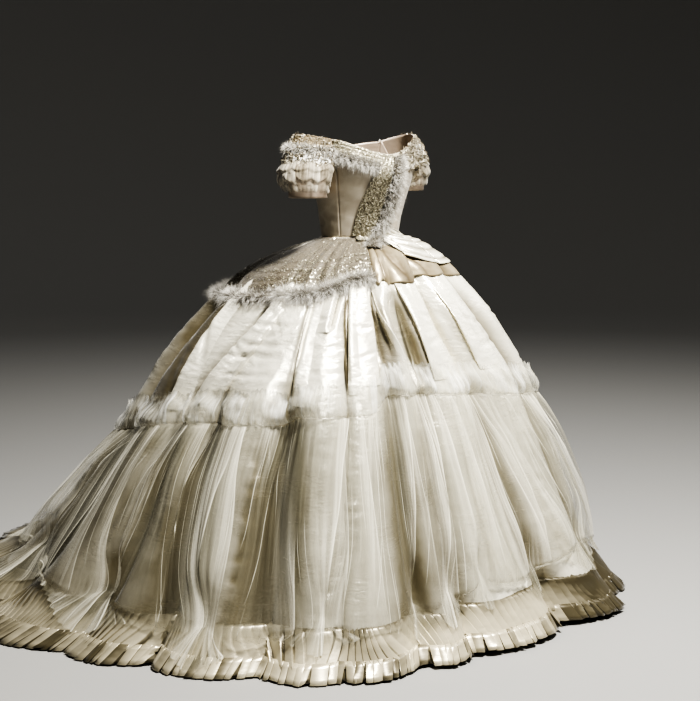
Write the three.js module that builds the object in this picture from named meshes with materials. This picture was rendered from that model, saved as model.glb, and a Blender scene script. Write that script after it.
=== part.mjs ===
// A silk ball gown of the 1860s, worn and filled out: an off-the-shoulder satin bodice with
// short sleeves, and a domed satin skirt with a train under a tulle overskirt. Each panel is a
// thin hollow wall. Millimetres and degrees, +Z up. The origin is the middle of the waist, the
// front faces -Y and the wearer's right is -X. Angles run from centre front towards the left.
import * as THREE from "three";

// ---------- Driving sizes ----------
const SKIRT_LENGTH = 1075; // waist to floor
const WAIST = { side: 118, front: 92 }; // half widths of the waist
const WALL = { satin: 2, tulle: 1, lace: 1.2, gauze: 1.5 };
const SEAM_GAP = 0.3;
const SEAT = 0.3; // a layer's clearance where it is sewn down
const ROUNDNESS = 0.09; // how far a pipe of cloth rounds, per length of its arc
const FOLD_LEVELS = { top: 150, middle: 450, hem: 1000 }; // drops at which folds are placed
const FOLD_COLUMNS = [0, 0.15, 0.5, 0.85]; // places across a pipe, from fold to fold
const HEADING_DEPTH = 76; // height of the gathered tulle heading
const FLOUNCE_TOP = 955;
const FRILL_TOP = 1030;
const WAIST_START = 0.45; // where the layers on the hips start, in the skirt's first row
const BACKNESS = { from: 55, to: 165 }; // angles between which the train's profile takes over

// Plan of the hem: how far it lies from the waist's axis, and how high it lifts off the floor.
const HEM_PLAN = [
  { angle: -180, reach: 1560, lift: 0 },
  { angle: -165, reach: 1530, lift: 0 },
  { angle: -150, reach: 1450, lift: 0 },
  { angle: -135, reach: 1330, lift: 0 },
  { angle: -120, reach: 1185, lift: 0 },
  { angle: -105, reach: 1030, lift: 0 },
  { angle: -90, reach: 900, lift: 0 },
  { angle: -75, reach: 822, lift: 0 },
  { angle: -60, reach: 795, lift: 0 },
  { angle: -45, reach: 760, lift: 0 },
  { angle: -30, reach: 702, lift: 4 },
  { angle: -15, reach: 648, lift: 8 },
  { angle: 0, reach: 612, lift: 10 },
  { angle: 15, reach: 610, lift: 12 },
  { angle: 30, reach: 656, lift: 12 },
  { angle: 45, reach: 734, lift: 8 },
  { angle: 60, reach: 800, lift: 0 },
  { angle: 75, reach: 838, lift: 0 },
  { angle: 90, reach: 895, lift: 0 },
  { angle: 105, reach: 1000, lift: 0 },
  { angle: 120, reach: 1140, lift: 0 },
  { angle: 135, reach: 1295, lift: 0 },
  { angle: 150, reach: 1430, lift: 0 },
  { angle: 165, reach: 1520, lift: 0 },
  { angle: 180, reach: 1560, lift: 0 },
];

// The skirt's outline: the share of the way from waist to hem, by drop, in front and behind.
const PROFILE = [
  { drop: 0, front: 0, back: 0 },
  { drop: 12, front: 0.03, back: 0.012 },
  { drop: 45, front: 0.12, back: 0.08 },
  { drop: 90, front: 0.215, back: 0.145 },
  { drop: 140, front: 0.3, back: 0.2 },
  { drop: 200, front: 0.38, back: 0.252 },
  { drop: 280, front: 0.46, back: 0.308 },
  { drop: 400, front: 0.562, back: 0.38 },
  { drop: 600, front: 0.68, back: 0.495 },
  { drop: 780, front: 0.775, back: 0.61 },
  { drop: 920, front: 0.862, back: 0.725 },
  { drop: 1015, front: 0.94, back: 0.862 },
  { drop: 1075, front: 1, back: 1 },
];

// The folds between the pipes of the skirt: the fold's angle at three drops, the half width of
// its dip, and how deep the dip is above and below the heading.
const FOLDS = [
  { top: -162, middle: -160, hem: -160, width: 6, upper: 20, lower: 45 },
  { top: -141, middle: -141, hem: -140, width: 6, upper: 18, lower: 40 },
  { top: -121, middle: -121, hem: -121, width: 5, upper: 30, lower: 50 },
  { top: -80, middle: -97, hem: -96, width: 4, upper: 10, lower: 22 },
  { top: -73, middle: -86, hem: -81, width: 4, upper: 5, lower: 30 },
  { top: -61, middle: -61, hem: -58, width: 8, upper: 14, lower: 48 },
  { top: -46, middle: -42, hem: -42, width: 3, upper: 14, lower: 8 },
  { top: -31, middle: -26, hem: -23, width: 6, upper: 42, lower: 50 },
  { top: -17, middle: -12, hem: -9, width: 5, upper: 36, lower: 26 },
  { top: 11, middle: 21, hem: 30, width: 6, upper: 32, lower: 38 },
  { top: 45, middle: 52, hem: 58, width: 6, upper: 24, lower: 40 },
  { top: 72, middle: 76, hem: 80, width: 6, upper: 22, lower: 36 },
  { top: 96, middle: 100, hem: 103, width: 6, upper: 20, lower: 42 },
  { top: 120, middle: 122, hem: 123, width: 5, upper: 28, lower: 46 },
  { top: 140, middle: 141, hem: 142, width: 6, upper: 18, lower: 40 },
  { top: 159, middle: 161, hem: 161, width: 6, upper: 20, lower: 44 },
  { top: 179, middle: 180, hem: 180, width: 6, upper: 18, lower: 40 },
];

// The line where the tulle is gathered to the satin, and the overskirt's own lower edge.
const GATHERS = [
  { angle: -180, gather: 590, edge: 900 },
  { angle: -135, gather: 570, edge: 880 },
  { angle: -115, gather: 525, edge: 880 },
  { angle: -95, gather: 487, edge: 925 },
  { angle: -71, gather: 472, edge: 940 },
  { angle: -62, gather: 468, edge: 936 },
  { angle: -57, gather: 446, edge: 932 },
  { angle: -34, gather: 440, edge: 918 },
  { angle: -27, gather: 404, edge: 915 },
  { angle: -13, gather: 402, edge: 900 },
  { angle: 10, gather: 416, edge: 900 },
  { angle: 43, gather: 442, edge: 870 },
  { angle: 80, gather: 480, edge: 900 },
  { angle: 115, gather: 525, edge: 890 },
  { angle: 135, gather: 570, edge: 880 },
  { angle: 180, gather: 590, edge: 900 },
];

// The peplum's lower edge and that of the fur below it.
const PEPLUM = [
  { angle: -130, hem: 138, fur: 184 },
  { angle: -100, hem: 132, fur: 176 },
  { angle: -60, hem: 113, fur: 156 },
  { angle: -48, hem: 94, fur: 134 },
  { angle: -38, hem: 82, fur: 116 },
  { angle: 60, hem: 118, fur: 150 },
];

// How far the overskirt stands off the pipes, by the share of its length from the gathers.
const STAND_OFF = [
  { share: 0, stand: 6 },
  { share: 0.3, stand: 28 },
  { share: 0.7, stand: 42 },
  { share: 1, stand: 30 },
];

// Half sizes of the bodice, by height above the waist.
const BODICE = [
  { height: 0, side: 118, front: 92, back: 92 },
  { height: 60, side: 126, front: 104, back: 97 },
  { height: 120, side: 139, front: 126, back: 102 },
  { height: 170, side: 150, front: 144, back: 104 },
  { height: 205, side: 157, front: 142, back: 104 },
  { height: 262, side: 164, front: 118, back: 104 },
];
const NECKLINE = { centre: 230, front: 271, underarm: 188, back: 262, nape: 250 };
const ARMHOLE = { front: 62, back: 130 }; // angles on the bodice where the sleeve begins and ends
const BODICE_ROWS = [0, 0.3, 0.55, 0.78, 1];
const SLEEVE = {
  rise: 17, // height of the neckline over the shoulder above its ends
  drift: 16, // how far back it goes there
  cuffRadius: 51,
  columns: 12,
  rows: [0, 0.24, 0.46, 0.85, 1],
  bulge: 12,
};
const PUFF_ROWS = [0.47, 0.55, 0.7, 0.85]; // shares of the sleeve's length
const PUFF_ENDS = { front: -0.083, back: 0.55 }; // its first and last places round the arm

// The two sleeves: how far the neckline goes out over the shoulder, the middle of the cuff, and
// the fullness of the tulle puff.
const SLEEVES = {
  right: { turned: -1, reach: 64, cuff: { out: 203, back: -28, height: 112 }, fullness: 32 },
  left: { turned: 1, reach: 52, cuff: { out: 196, back: 36, height: 122 }, fullness: 20 },
};

// Seams of the bodice and of the skirt. The skirt's are numbered along its pipes.
const BODICE_PANELS = [
  { name: "bodice_back_right", from: -180, to: -130, steps: 4 },
  { name: "bodice_side_right", from: -130, to: -62, steps: 6 },
  { name: "bodice_side_front_right", from: -62, to: -22, steps: 4 },
  { name: "bodice_front", from: -22, to: 22, steps: 5 },
  { name: "bodice_side_front_left", from: 22, to: 62, steps: 4 },
  { name: "bodice_side_left", from: 62, to: 130, steps: 6 },
  { name: "bodice_back_left", from: 130, to: 180, steps: 4 },
];
const SKIRT_GORES = [
  { name: "skirt_back_right", from: 0, to: 2 },
  { name: "skirt_side_back_right", from: 2, to: 4 },
  { name: "skirt_side_right", from: 4, to: 6 },
  { name: "skirt_front_right", from: 6, to: 8 },
  { name: "skirt_front", from: 8, to: 10 },
  { name: "skirt_front_left", from: 10, to: 12 },
  { name: "skirt_side_left", from: 12, to: 14 },
  { name: "skirt_side_back_left", from: 14, to: 16 },
  { name: "skirt_back", from: 16, to: 17 },
];
const QUARTERS = [
  { side: "back_right", from: 0, to: 4 },
  { side: "front_right", from: 4, to: 8 },
  { side: "front_left", from: 8, to: 12 },
  { side: "back_left", from: 12, to: 17 },
];

// ---------- Finishes ----------
const FINISHES = {
  satin: { color: 0xe9dfc8, roughness: 0.38, metalness: 0 },
  flounce: { color: 0xe4d8bd, roughness: 0.42, metalness: 0 },
  tulle: { color: 0xe8e6df, roughness: 0.8, metalness: 0 },
  gauze: { color: 0xa9946a, roughness: 0.5, metalness: 0.2 },
  sequins: { color: 0x7d6a43, roughness: 0.35, metalness: 0.5 },
  silver_lace: { color: 0xb9b7ad, roughness: 0.45, metalness: 0.4 },
  fur: { color: 0xf1ece4, roughness: 0.95, metalness: 0 },
};

// ---------- Small tools ----------
const radians = THREE.MathUtils.degToRad;
const mix = THREE.MathUtils.lerp;
const smoothstep = THREE.MathUtils.smoothstep;

// Reads a column of a table at x, on a smooth curve through its rows, and holds its ends.
function readTable(table, key, column, x) {
  const last = table.length - 1;
  if (x <= table[0][key]) return table[0][column];
  if (x >= table[last][key]) return table[last][column];
  let i = 0;
  while (table[i + 1][key] < x) i += 1;
  const slope = (k) => {
    const before = table[Math.max(k - 1, 0)];
    const after = table[Math.min(k + 1, last)];
    return (after[column] - before[column]) / (after[key] - before[key]);
  };
  const span = table[i + 1][key] - table[i][key];
  const t = (x - table[i][key]) / span;
  const bend = t * t * (3 - 2 * t);
  const start = slope(i) * span * t * (1 - t) * (1 - t);
  const end = slope(i + 1) * span * t * t * (1 - t);
  return mix(table[i][column], table[i + 1][column], bend) + start - end;
}

function wrapAngle(angle) {
  return THREE.MathUtils.euclideanModulo(angle + 180, 360) - 180;
}

// ---------- The skirt's surface ----------
// A place across the skirt is a number of pipes: 2.5 is the middle of the pipe after fold 2.
function foldAngle(index, drop) {
  const turns = Math.floor(index / FOLDS.length);
  const fold = FOLDS[index - turns * FOLDS.length];
  const { top, middle, hem } = FOLD_LEVELS;
  const high = smoothstep(drop, top, middle);
  const low = smoothstep(drop, middle, hem);
  return mix(mix(fold.top, fold.middle, high), fold.hem, low) + 360 * turns;
}

function skirtAngle(across, drop) {
  const index = Math.floor(across);
  return mix(foldAngle(index, drop), foldAngle(index + 1, drop), across - index);
}

// Distance from the axis to the smooth form that the pipes touch.
function formReach(angle, drop) {
  const turned = wrapAngle(angle);
  const s = Math.sin(radians(turned)) / WAIST.side;
  const c = Math.cos(radians(turned)) / WAIST.front;
  const waist = 1 / Math.hypot(s, c);
  const back = smoothstep(Math.abs(turned), BACKNESS.from, BACKNESS.to);
  const front = readTable(PROFILE, "drop", "front", drop);
  const behind = readTable(PROFILE, "drop", "back", drop);
  const hem = readTable(HEM_PLAN, "angle", "reach", turned);
  return mix(waist, hem, mix(front, behind, back));
}

function dip(index, angle, drop) {
  const fold = FOLDS[THREE.MathUtils.euclideanModulo(index, FOLDS.length)];
  const grown = smoothstep(drop, 0, 220);
  const depth = mix(fold.upper * grown, fold.lower, smoothstep(drop, 320, 560));
  const away = (angle - foldAngle(index, drop)) / fold.width;
  return depth / (1 + away * away) ** 1.5;
}

// How far the cloth lies inside the smooth form, at a place across the pipes.
function foldDepth(across, drop) {
  const index = Math.floor(across);
  const angle = skirtAngle(across, drop);
  const arc = radians(foldAngle(index + 1, drop) - foldAngle(index, drop)) * formReach(angle, drop);
  const off = 2 * (across - index) - 1;
  return ROUNDNESS * arc * off * off + dip(index, angle, drop) + dip(index + 1, angle, drop);
}

// A point of the skirt, with part of its folds and a distance that it stands off.
function skirtPoint(across, drop, folded, stand) {
  const angle = skirtAngle(across, drop);
  const reach = formReach(angle, drop) - folded * foldDepth(across, drop) + stand;
  const lift = readTable(HEM_PLAN, "angle", "lift", wrapAngle(angle)) * (drop / SKIRT_LENGTH) ** 4;
  const a = radians(angle);
  return new THREE.Vector3(reach * Math.sin(a), -reach * Math.cos(a), lift - drop);
}

function gatherDrop(across) {
  return readTable(GATHERS, "angle", "gather", wrapAngle(skirtAngle(across, 500)));
}

function peplumDrop(across, column) {
  return readTable(PEPLUM, "angle", column, wrapAngle(skirtAngle(across, 120)));
}

function tulleEdge(across) {
  return readTable(GATHERS, "angle", "edge", wrapAngle(skirtAngle(across, 900)));
}

// Places across the skirt between two folds, both ends counted.
function columnsBetween(from, to) {
  const places = [];
  for (let fold = from; fold < to; fold += 1) {
    for (const t of FOLD_COLUMNS) places.push(fold + t);
  }
  return [...places, to];
}

// ---------- Walls ----------
// Outward normals of a grid of points, whose rows run down and columns run to the left.
function gridNormals(points) {
  const rows = points.length - 1;
  const columns = points[0].length - 1;
  return points.map((row, i) =>
    row.map((_, j) => {
      const up = points[Math.max(i - 1, 0)][j];
      const down = points[Math.min(i + 1, rows)][j];
      const before = row[Math.max(j - 1, 0)];
      const after = row[Math.min(j + 1, columns)];
      const across = after.clone().sub(before);
      return down.clone().sub(up).cross(across).normalize();
    }),
  );
}

function moved(points, normals, distances) {
  return points.map((row, i) => {
    const distance = Array.isArray(distances) ? distances[i] : distances;
    return row.map((p, j) => p.clone().addScaledVector(normals[i][j], distance));
  });
}

// Cuts a grid back by half a seam gap at its first and last columns.
function trimmed(points) {
  return points.map((row) => {
    const cut = row.map((p) => p.clone());
    const last = row.length - 1;
    cut[0].add(row[1].clone().sub(row[0]).setLength(SEAM_GAP / 2));
    cut[last].add(row[last - 1].clone().sub(row[last]).setLength(SEAM_GAP / 2));
    return cut;
  });
}

// The closed wall between an outer and an inner grid of the same size. A wall that closes on
// itself has no edge at its sides.
function wall(outer, inner, closes = false) {
  const rows = outer.length;
  const columns = outer[0].length;
  const positions = [...outer.flat(), ...inner.flat()].flatMap((p) => [p.x, p.y, p.z]);
  const faces = [];
  const at = (side, i, j) => side * rows * columns + i * columns + (j % columns);
  const quad = (a, b, c, d) => faces.push(a, b, c, a, c, d);
  const lastColumn = closes ? columns : columns - 1;
  for (let i = 0; i < rows - 1; i += 1) {
    for (let j = 0; j < lastColumn; j += 1) {
      quad(at(0, i, j), at(0, i + 1, j), at(0, i + 1, j + 1), at(0, i, j + 1));
      faces.push(at(1, i, j), at(1, i + 1, j + 1), at(1, i + 1, j));
      faces.push(at(1, i, j), at(1, i, j + 1), at(1, i + 1, j + 1));
    }
  }
  for (let j = 0; j < lastColumn; j += 1) {
    const end = rows - 1;
    quad(at(0, 0, j), at(0, 0, j + 1), at(1, 0, j + 1), at(1, 0, j));
    quad(at(0, end, j + 1), at(0, end, j), at(1, end, j), at(1, end, j + 1));
  }
  for (let i = 0; i < rows - 1 && !closes; i += 1) {
    const end = columns - 1;
    quad(at(0, i + 1, 0), at(0, i, 0), at(1, i, 0), at(1, i + 1, 0));
    quad(at(0, i, end), at(0, i + 1, end), at(1, i + 1, end), at(1, i, end));
  }
  return outwardGeometry(positions, faces);
}

// Turns the faces round where the grid ran the other way, so that they point out.
function outwardGeometry(positions, faces) {
  const corner = (k) => new THREE.Vector3().fromArray(positions, 3 * k);
  let volume = 0;
  for (let f = 0; f < faces.length; f += 3) {
    volume += corner(faces[f]).dot(corner(faces[f + 1]).cross(corner(faces[f + 2])));
  }
  const index = volume < 0 ? [...faces].reverse() : faces;
  const geometry = new THREE.BufferGeometry();
  geometry.setAttribute("position", new THREE.Float32BufferAttribute(positions, 3));
  geometry.setIndex(index);
  geometry.computeVertexNormals();
  return geometry;
}

function addPiece(group, name, finish, geometry) {
  const mesh = new THREE.Mesh(geometry, new THREE.MeshStandardMaterial(FINISHES[finish]));
  mesh.name = name;
  group.add(mesh);
}

// ---------- The skirt ----------
// Every layer of the skirt hangs on the satin's own columns, so the whole round is worked out
// once and each piece takes its columns from it.
const skirtColumns = columnsBetween(0, FOLDS.length);

function satinDrops(across) {
  const peplum = [peplumDrop(across, "hem"), peplumDrop(across, "fur")];
  const middle = [280, gatherDrop(across), 620, 800];
  return [0, 20, 56, ...peplum, ...middle, FLOUNCE_TOP, FRILL_TOP, SKIRT_LENGTH - 4];
}

function satinRows() {
  const drops = skirtColumns.map(satinDrops);
  return drops[0].map((_, i) => skirtColumns.map((across, j) => skirtPoint(across, drops[j][i], 1, 0)));
}

const SATIN_ROW = { waist: 0, peplumHem: 3, furHem: 4, gather: 6, flounceTop: 9, frillTop: 10, hem: 11 };
const satin = satinRows();
const satinNormals = roundNormals(satin);

// Normals of a grid whose last column lies on its first.
function roundNormals(points) {
  const wide = points.map((row) => [row[row.length - 2], ...row, row[1]]);
  return gridNormals(wide).map((row) => row.slice(1, -1));
}

// The columns of a layer from one fold to another, and the rows that are given.
function slice(grid, from, to, rows = grid.map((_, i) => i)) {
  const first = from * FOLD_COLUMNS.length;
  const last = to * FOLD_COLUMNS.length;
  return rows.map((i) => grid[i].slice(first, last + 1));
}

function addGores(group) {
  for (const { name, from, to } of SKIRT_GORES) {
    const outer = slice(satin, from, to);
    const inner = moved(outer, slice(satinNormals, from, to), -WALL.satin);
    addPiece(group, name, "satin", wall(trimmed(outer), trimmed(inner)));
  }
}

// The gathered heading stands up from the line of gathers as a puffed band.
function headingGrid() {
  const gather = SATIN_ROW.gather;
  const seat = moved([satin[gather]], [satinNormals[gather]], SEAT + WALL.tulle)[0];
  const bulge = [
    { up: 1, stand: 16 },
    { up: 0.45, stand: 26 },
  ];
  const rows = bulge.map(({ up, stand }) =>
    skirtColumns.map((across) => skirtPoint(across, gatherDrop(across) - up * HEADING_DEPTH, 0.7, stand)),
  );
  return [...rows, seat];
}

// The overskirt falls from just below the same line and balloons over the folds.
function overskirtGrid() {
  const below = SATIN_ROW.gather;
  const seat = skirtColumns.map((_, j) => {
    const point = satin[below][j].clone();
    const down = satin[below + 1][j].clone().sub(point).setLength(SEAM_GAP + WALL.tulle);
    return point.add(down).addScaledVector(satinNormals[below][j], SEAT + WALL.tulle);
  });
  const rows = STAND_OFF.slice(1).map(({ share, stand }) =>
    skirtColumns.map((across) => {
      const drop = mix(gatherDrop(across), tulleEdge(across), share);
      return skirtPoint(across, drop, 0.35, stand);
    }),
  );
  return [seat, ...rows];
}

function addLayer(group, prefix, finish, grid, thickness) {
  const normals = roundNormals(grid);
  for (const { side, from, to } of QUARTERS) {
    const outer = slice(grid, from, to);
    const inner = moved(outer, slice(normals, from, to), -thickness);
    addPiece(group, `${prefix}_${side}`, finish, wall(trimmed(outer), trimmed(inner)));
  }
}

// The flounce is sewn to the satin at its top and spreads over it to the floor. The frill is
// sewn to the flounce.
function flounceGrid() {
  const { flounceTop, frillTop, hem } = SATIN_ROW;
  const rows = [satin[flounceTop], satin[frillTop], satin[hem]];
  const normals = [satinNormals[flounceTop], satinNormals[frillTop], satinNormals[hem]];
  return moved(rows, normals, [SEAT + WALL.satin, 10, 12]);
}

function frillGrid(flounce) {
  const normals = roundNormals(flounce);
  const [top, hem] = moved(flounce.slice(1), normals.slice(1), [SEAT + WALL.satin, 14]);
  return [top, hem.map((p) => p.clone().setZ(p.z - 2))];
}

function addSkirtLayers(group) {
  const flounce = flounceGrid();
  addLayer(group, "heading", "tulle", headingGrid(), WALL.tulle);
  addLayer(group, "overskirt", "tulle", overskirtGrid(), WALL.tulle);
  addLayer(group, "flounce", "flounce", flounce, WALL.satin);
  addLayer(group, "frill", "flounce", frillGrid(flounce), WALL.satin);
}

// Starts a layer of the hips a little below the waist seam.
function belowWaist(points) {
  return [points[0].map((p, j) => p.clone().lerp(points[1][j], WAIST_START)), ...points.slice(1)];
}

// The gauze peplum lies over the right hip from the waist, and a band of fur edges it.
function addPeplum(group) {
  const from = 0;
  const to = 7;
  const { waist, peplumHem, furHem } = SATIN_ROW;
  const rows = [waist, waist + 1, waist + 2, peplumHem];
  const normals = slice(satinNormals, from, to, rows);
  const inner = moved(belowWaist(slice(satin, from, to, rows)), normals, [SEAT, 4, 9, SEAT]);
  const outer = moved(inner, normals, WALL.gauze);
  addPiece(group, "peplum", "gauze", wall(outer, inner));

  const [top, bottom] = slice(satin, from, to, [peplumHem, furHem]);
  const [topNormals, bottomNormals] = slice(satinNormals, from, to, [peplumHem, furHem]);
  const places = [0.015, 0.5, 1];
  const bed = places.map((t) => top.map((p, j) => p.clone().lerp(bottom[j], t)));
  const bedNormals = places.map((t) =>
    topNormals.map((n, j) => n.clone().lerp(bottomNormals[j], t).normalize()),
  );
  const under = moved(bed, bedNormals, [0.4, 3, 3]);
  const over = moved(bed, bedNormals, [14, 32, 12]);
  addPiece(group, "peplum_fur", "fur", wall(over, under));
}

// The satin drape on the left hip hangs from the waist in three soft folds.
function addDrape(group) {
  const { waist, peplumHem } = SATIN_ROW;
  const rows = [waist, waist + 1, waist + 2, peplumHem];
  const normals = slice(satinNormals, 8, 11, rows);
  const inner = moved(belowWaist(slice(satin, 8, 11, rows)), normals, [SEAT, 3, 6, 3]);
  const outer = moved(inner, normals, WALL.satin);
  addPiece(group, "hip_drape", "satin", wall(outer, inner));
}

// ---------- The bodice ----------
function bodicePoint(angle, height, lift) {
  const side = readTable(BODICE, "height", "side", height);
  const column = Math.abs(angle) < 90 ? "front" : "back";
  const depth = readTable(BODICE, "height", column, height);
  const s = Math.sin(radians(angle));
  const c = Math.cos(radians(angle));
  const out = new THREE.Vector3(s / side, -c / depth, 0).normalize();
  return new THREE.Vector3(side * s, -depth * c, height).addScaledVector(out, lift);
}

function topEdge(angle) {
  const a = Math.abs(angle);
  const { centre, front, underarm, back, nape } = NECKLINE;
  if (a <= ARMHOLE.front) return mix(centre, front, smoothstep(a, 0, ARMHOLE.front));
  if (a >= ARMHOLE.back) return mix(back, nape, smoothstep(a, ARMHOLE.back, 180));
  const t = (a - ARMHOLE.front) / (ARMHOLE.back - ARMHOLE.front);
  return front - (front - underarm) * Math.sin(Math.PI * t);
}

// A point on the flat facets between the bodice's rows, moved out.
function onBodice(angle, share, lift) {
  const rows = BODICE_ROWS;
  let i = 0;
  while (i < rows.length - 2 && rows[i + 1] < share) i += 1;
  const t = (share - rows[i]) / (rows[i + 1] - rows[i]);
  const low = bodicePoint(angle, rows[i] * topEdge(angle), lift);
  return low.lerp(bodicePoint(angle, rows[i + 1] * topEdge(angle), lift), t);
}

// A grid on the bodice between two angles and two shares of its height.
function bodiceGrid(from, to, steps, shares, lift) {
  return shares.map((share) =>
    Array.from({ length: steps + 1 }, (_, k) => {
      const angle = mix(from, to, k / steps);
      return bodicePoint(angle, share * topEdge(angle) + SEAM_GAP / 2, lift);
    }),
  ).reverse();
}

function addBodice(group) {
  for (const { name, from, to, steps } of BODICE_PANELS) {
    const outer = bodiceGrid(from, to, steps, BODICE_ROWS, 0);
    const inner = bodiceGrid(from, to, steps, BODICE_ROWS, -WALL.satin);
    addPiece(group, name, "satin", wall(trimmed(outer), trimmed(inner)));
  }
}

// ---------- The sleeves ----------
// Round a sleeve, 0 is the front end of the armhole, a half turn over the shoulder is the back
// end, and the rest runs back under the arm along the bodice.
function sleeveTop(turn, reach) {
  const clear = WALL.satin + 2 * SEAT;
  const frontEnd = bodicePoint(ARMHOLE.front, NECKLINE.front, clear);
  const backEnd = bodicePoint(ARMHOLE.back, NECKLINE.back, clear);
  if (turn <= 0.5) {
    const arch = Math.sin(2 * Math.PI * turn);
    const point = frontEnd.clone().lerp(backEnd, 2 * turn);
    point.x += reach * arch;
    point.y += SLEEVE.drift * arch;
    point.z += SLEEVE.rise * arch;
    return point;
  }
  const angle = mix(ARMHOLE.back, ARMHOLE.front, 2 * turn - 1);
  return bodicePoint(angle, topEdge(angle), clear);
}

function sleevePoint(turn, share, side) {
  const { reach, cuff } = SLEEVES[side];
  const around = Math.PI * (2 * turn - 0.5);
  const edge = new THREE.Vector3(Math.cos(around), Math.sin(around), 0)
    .multiplyScalar(SLEEVE.cuffRadius)
    .add(new THREE.Vector3(cuff.out, cuff.back, cuff.height));
  const point = sleeveTop(turn, reach).lerp(edge, share);
  point.x += SLEEVE.bulge * Math.sin(Math.PI * share) * Math.max(0, Math.cos(around));
  return point;
}

// A grid on the sleeve, moved out from the middle of the arm, on the side that is asked.
function sleeveGrid(side, turns, shares, lifts) {
  const { turned } = SLEEVES[side];
  return shares.map((share, i) => {
    const ring = Array.from({ length: 8 }, (_, k) => sleevePoint(k / 8, share, side));
    const middle = ring.reduce((sum, p) => sum.add(p), new THREE.Vector3()).divideScalar(8);
    return turns.map((turn) => {
      const point = sleevePoint(THREE.MathUtils.euclideanModulo(turn, 1), share, side);
      const out = point.clone().sub(middle).setZ(0).normalize();
      const lifted = point.addScaledVector(out, lifts[i]);
      return lifted.setX(turned * lifted.x);
    });
  });
}

function addSleeve(group, side) {
  const around = Array.from({ length: SLEEVE.columns }, (_, k) => k / SLEEVE.columns);
  const layer = (turns, rows, lifts) => sleeveGrid(side, turns, rows, lifts);
  const raised = (lifts, thickness) => lifts.map((lift) => lift + thickness);
  const seated = SLEEVE.rows.map(() => SEAT);
  const tube = layer(around, SLEEVE.rows, raised(seated, WALL.satin));
  addPiece(group, `sleeve_${side}`, "satin", wall(tube, layer(around, SLEEVE.rows, seated), true));

  const base = WALL.satin + 2 * SEAT;
  const over = around.filter((turn) => turn <= 0.5);
  const capRows = SLEEVE.rows.slice(0, 3);
  const capLifts = [base, base + 12, base + 14];
  const cap = layer(over, capRows, raised(capLifts, WALL.lace));
  addPiece(group, `sleeve_cap_${side}`, "silver_lace", wall(cap, layer(over, capRows, capLifts)));

  const { fullness } = SLEEVES[side];
  const puffTurns = [PUFF_ENDS.front, ...over, PUFF_ENDS.back];
  const puffLifts = [base + 0.4 * fullness, base + fullness, base + fullness, base];
  const puff = layer(puffTurns, PUFF_ROWS, raised(puffLifts, WALL.tulle));
  addPiece(group, `sleeve_puff_${side}`, "tulle", wall(puff, layer(puffTurns, PUFF_ROWS, puffLifts)));
}

// ---------- Trimmings on the bodice ----------
// A strip laid on the bodice: each row gives a share of the bodice's height and two angles.
function stripGrid(table, steps, lifts) {
  return table.map(({ share, from, to }) =>
    Array.from({ length: steps + 1 }, (_, k) => onBodice(mix(from, to, k / steps), share, lifts[k])),
  );
}

const SCARF = [
  { share: 0.99, from: -7, to: 3 },
  { share: 0.78, from: -19, to: 0 },
  { share: 0.55, from: -29, to: 0 },
  { share: 0.3, from: -37, to: -2 },
  { share: 0.03, from: -44, to: -14 },
];
const SCARF_FUR = [
  { share: 0.97, from: 3.5, to: 13 },
  { share: 0.78, from: 0.5, to: 13 },
  { share: 0.55, from: 0.5, to: 15 },
  { share: 0.3, from: -1.5, to: 14 },
  { share: 0.03, from: -13.5, to: 3 },
];

function addScarf(group) {
  const steps = 4;
  const flat = (lift) => Array(steps + 1).fill(lift);
  const inner = stripGrid(SCARF, steps, flat(1.2));
  const outer = stripGrid(SCARF, steps, flat(1.2 + WALL.gauze));
  addPiece(group, "scarf", "sequins", wall(outer, inner));
  const under = stripGrid(SCARF_FUR, steps, flat(1.2));
  const over = stripGrid(SCARF_FUR, steps, [8, 19, 22, 19, 8]);
  addPiece(group, "scarf_fur", "fur", wall(over, under));
}

// A band along the neckline. Each row of its table gives a share of the bodice's height, where
// the band ends towards the centre front, and how far its two faces stand off the bodice.
function addNeckBand(group, name, finish, start, table) {
  const steps = Math.round(Math.abs(table[0].end - start) / 9);
  const places = Array.from({ length: steps + 1 }, (_, k) => k / steps);
  const grid = (face) =>
    table.map(({ end, share, [face]: lift }) =>
      places.map((t) => onBodice(mix(start, end, t), share, lift)),
    );
  addPiece(group, name, finish, wall(grid("over"), grid("under")));
}

const NECK_GALLOON = [
  { share: 1, end: -8, under: 0.8, over: 2.6 },
  { share: 0.9, end: -12.5, under: 0.8, over: 2.6 },
];
const NECK_FUR = [
  { share: 0.898, end: -13, under: 1.2, over: 10 },
  { share: 0.78, end: -20, under: 1.2, over: 26 },
  { share: 0.73, end: -22, under: 1.6, over: 8 },
];
const BERTHA = [
  { share: 1, end: 14, under: 0.8, over: 2.2 },
  { share: 0.9, end: 14, under: 1.8, over: 3.4 },
  { share: 0.76, end: 14, under: 3, over: 4.6 },
];

function addNeckTrim(group) {
  const start = ARMHOLE.front - 3;
  addNeckBand(group, "neck_galloon", "gauze", -start, NECK_GALLOON);
  addNeckBand(group, "neck_fur", "fur", -start, NECK_FUR);
  addNeckBand(group, "bertha", "silver_lace", start, BERTHA);
}

// ---------- The gown ----------
const gown = new THREE.Group();
addGores(gown);
addSkirtLayers(gown);
addPeplum(gown);
addDrape(gown);
addBodice(gown);
addSleeve(gown, "right");
addSleeve(gown, "left");
addScarf(gown);
addNeckTrim(gown);

export default gown;
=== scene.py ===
"""A silk ball gown of the 1860s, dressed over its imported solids.

Metres, +Z up. The origin is the middle of the waist, the gown faces -Y and the wearer's right is -X.
Angles are in degrees from centre front towards the wearer's left, and a drop is a depth below the waist.
A place across the skirt is a number of pipes of cloth: 2.5 is the middle of the pipe after fold 2.
"""

import logging
import math
from collections.abc import Callable, Sequence
from dataclasses import dataclass
from enum import Enum

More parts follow.
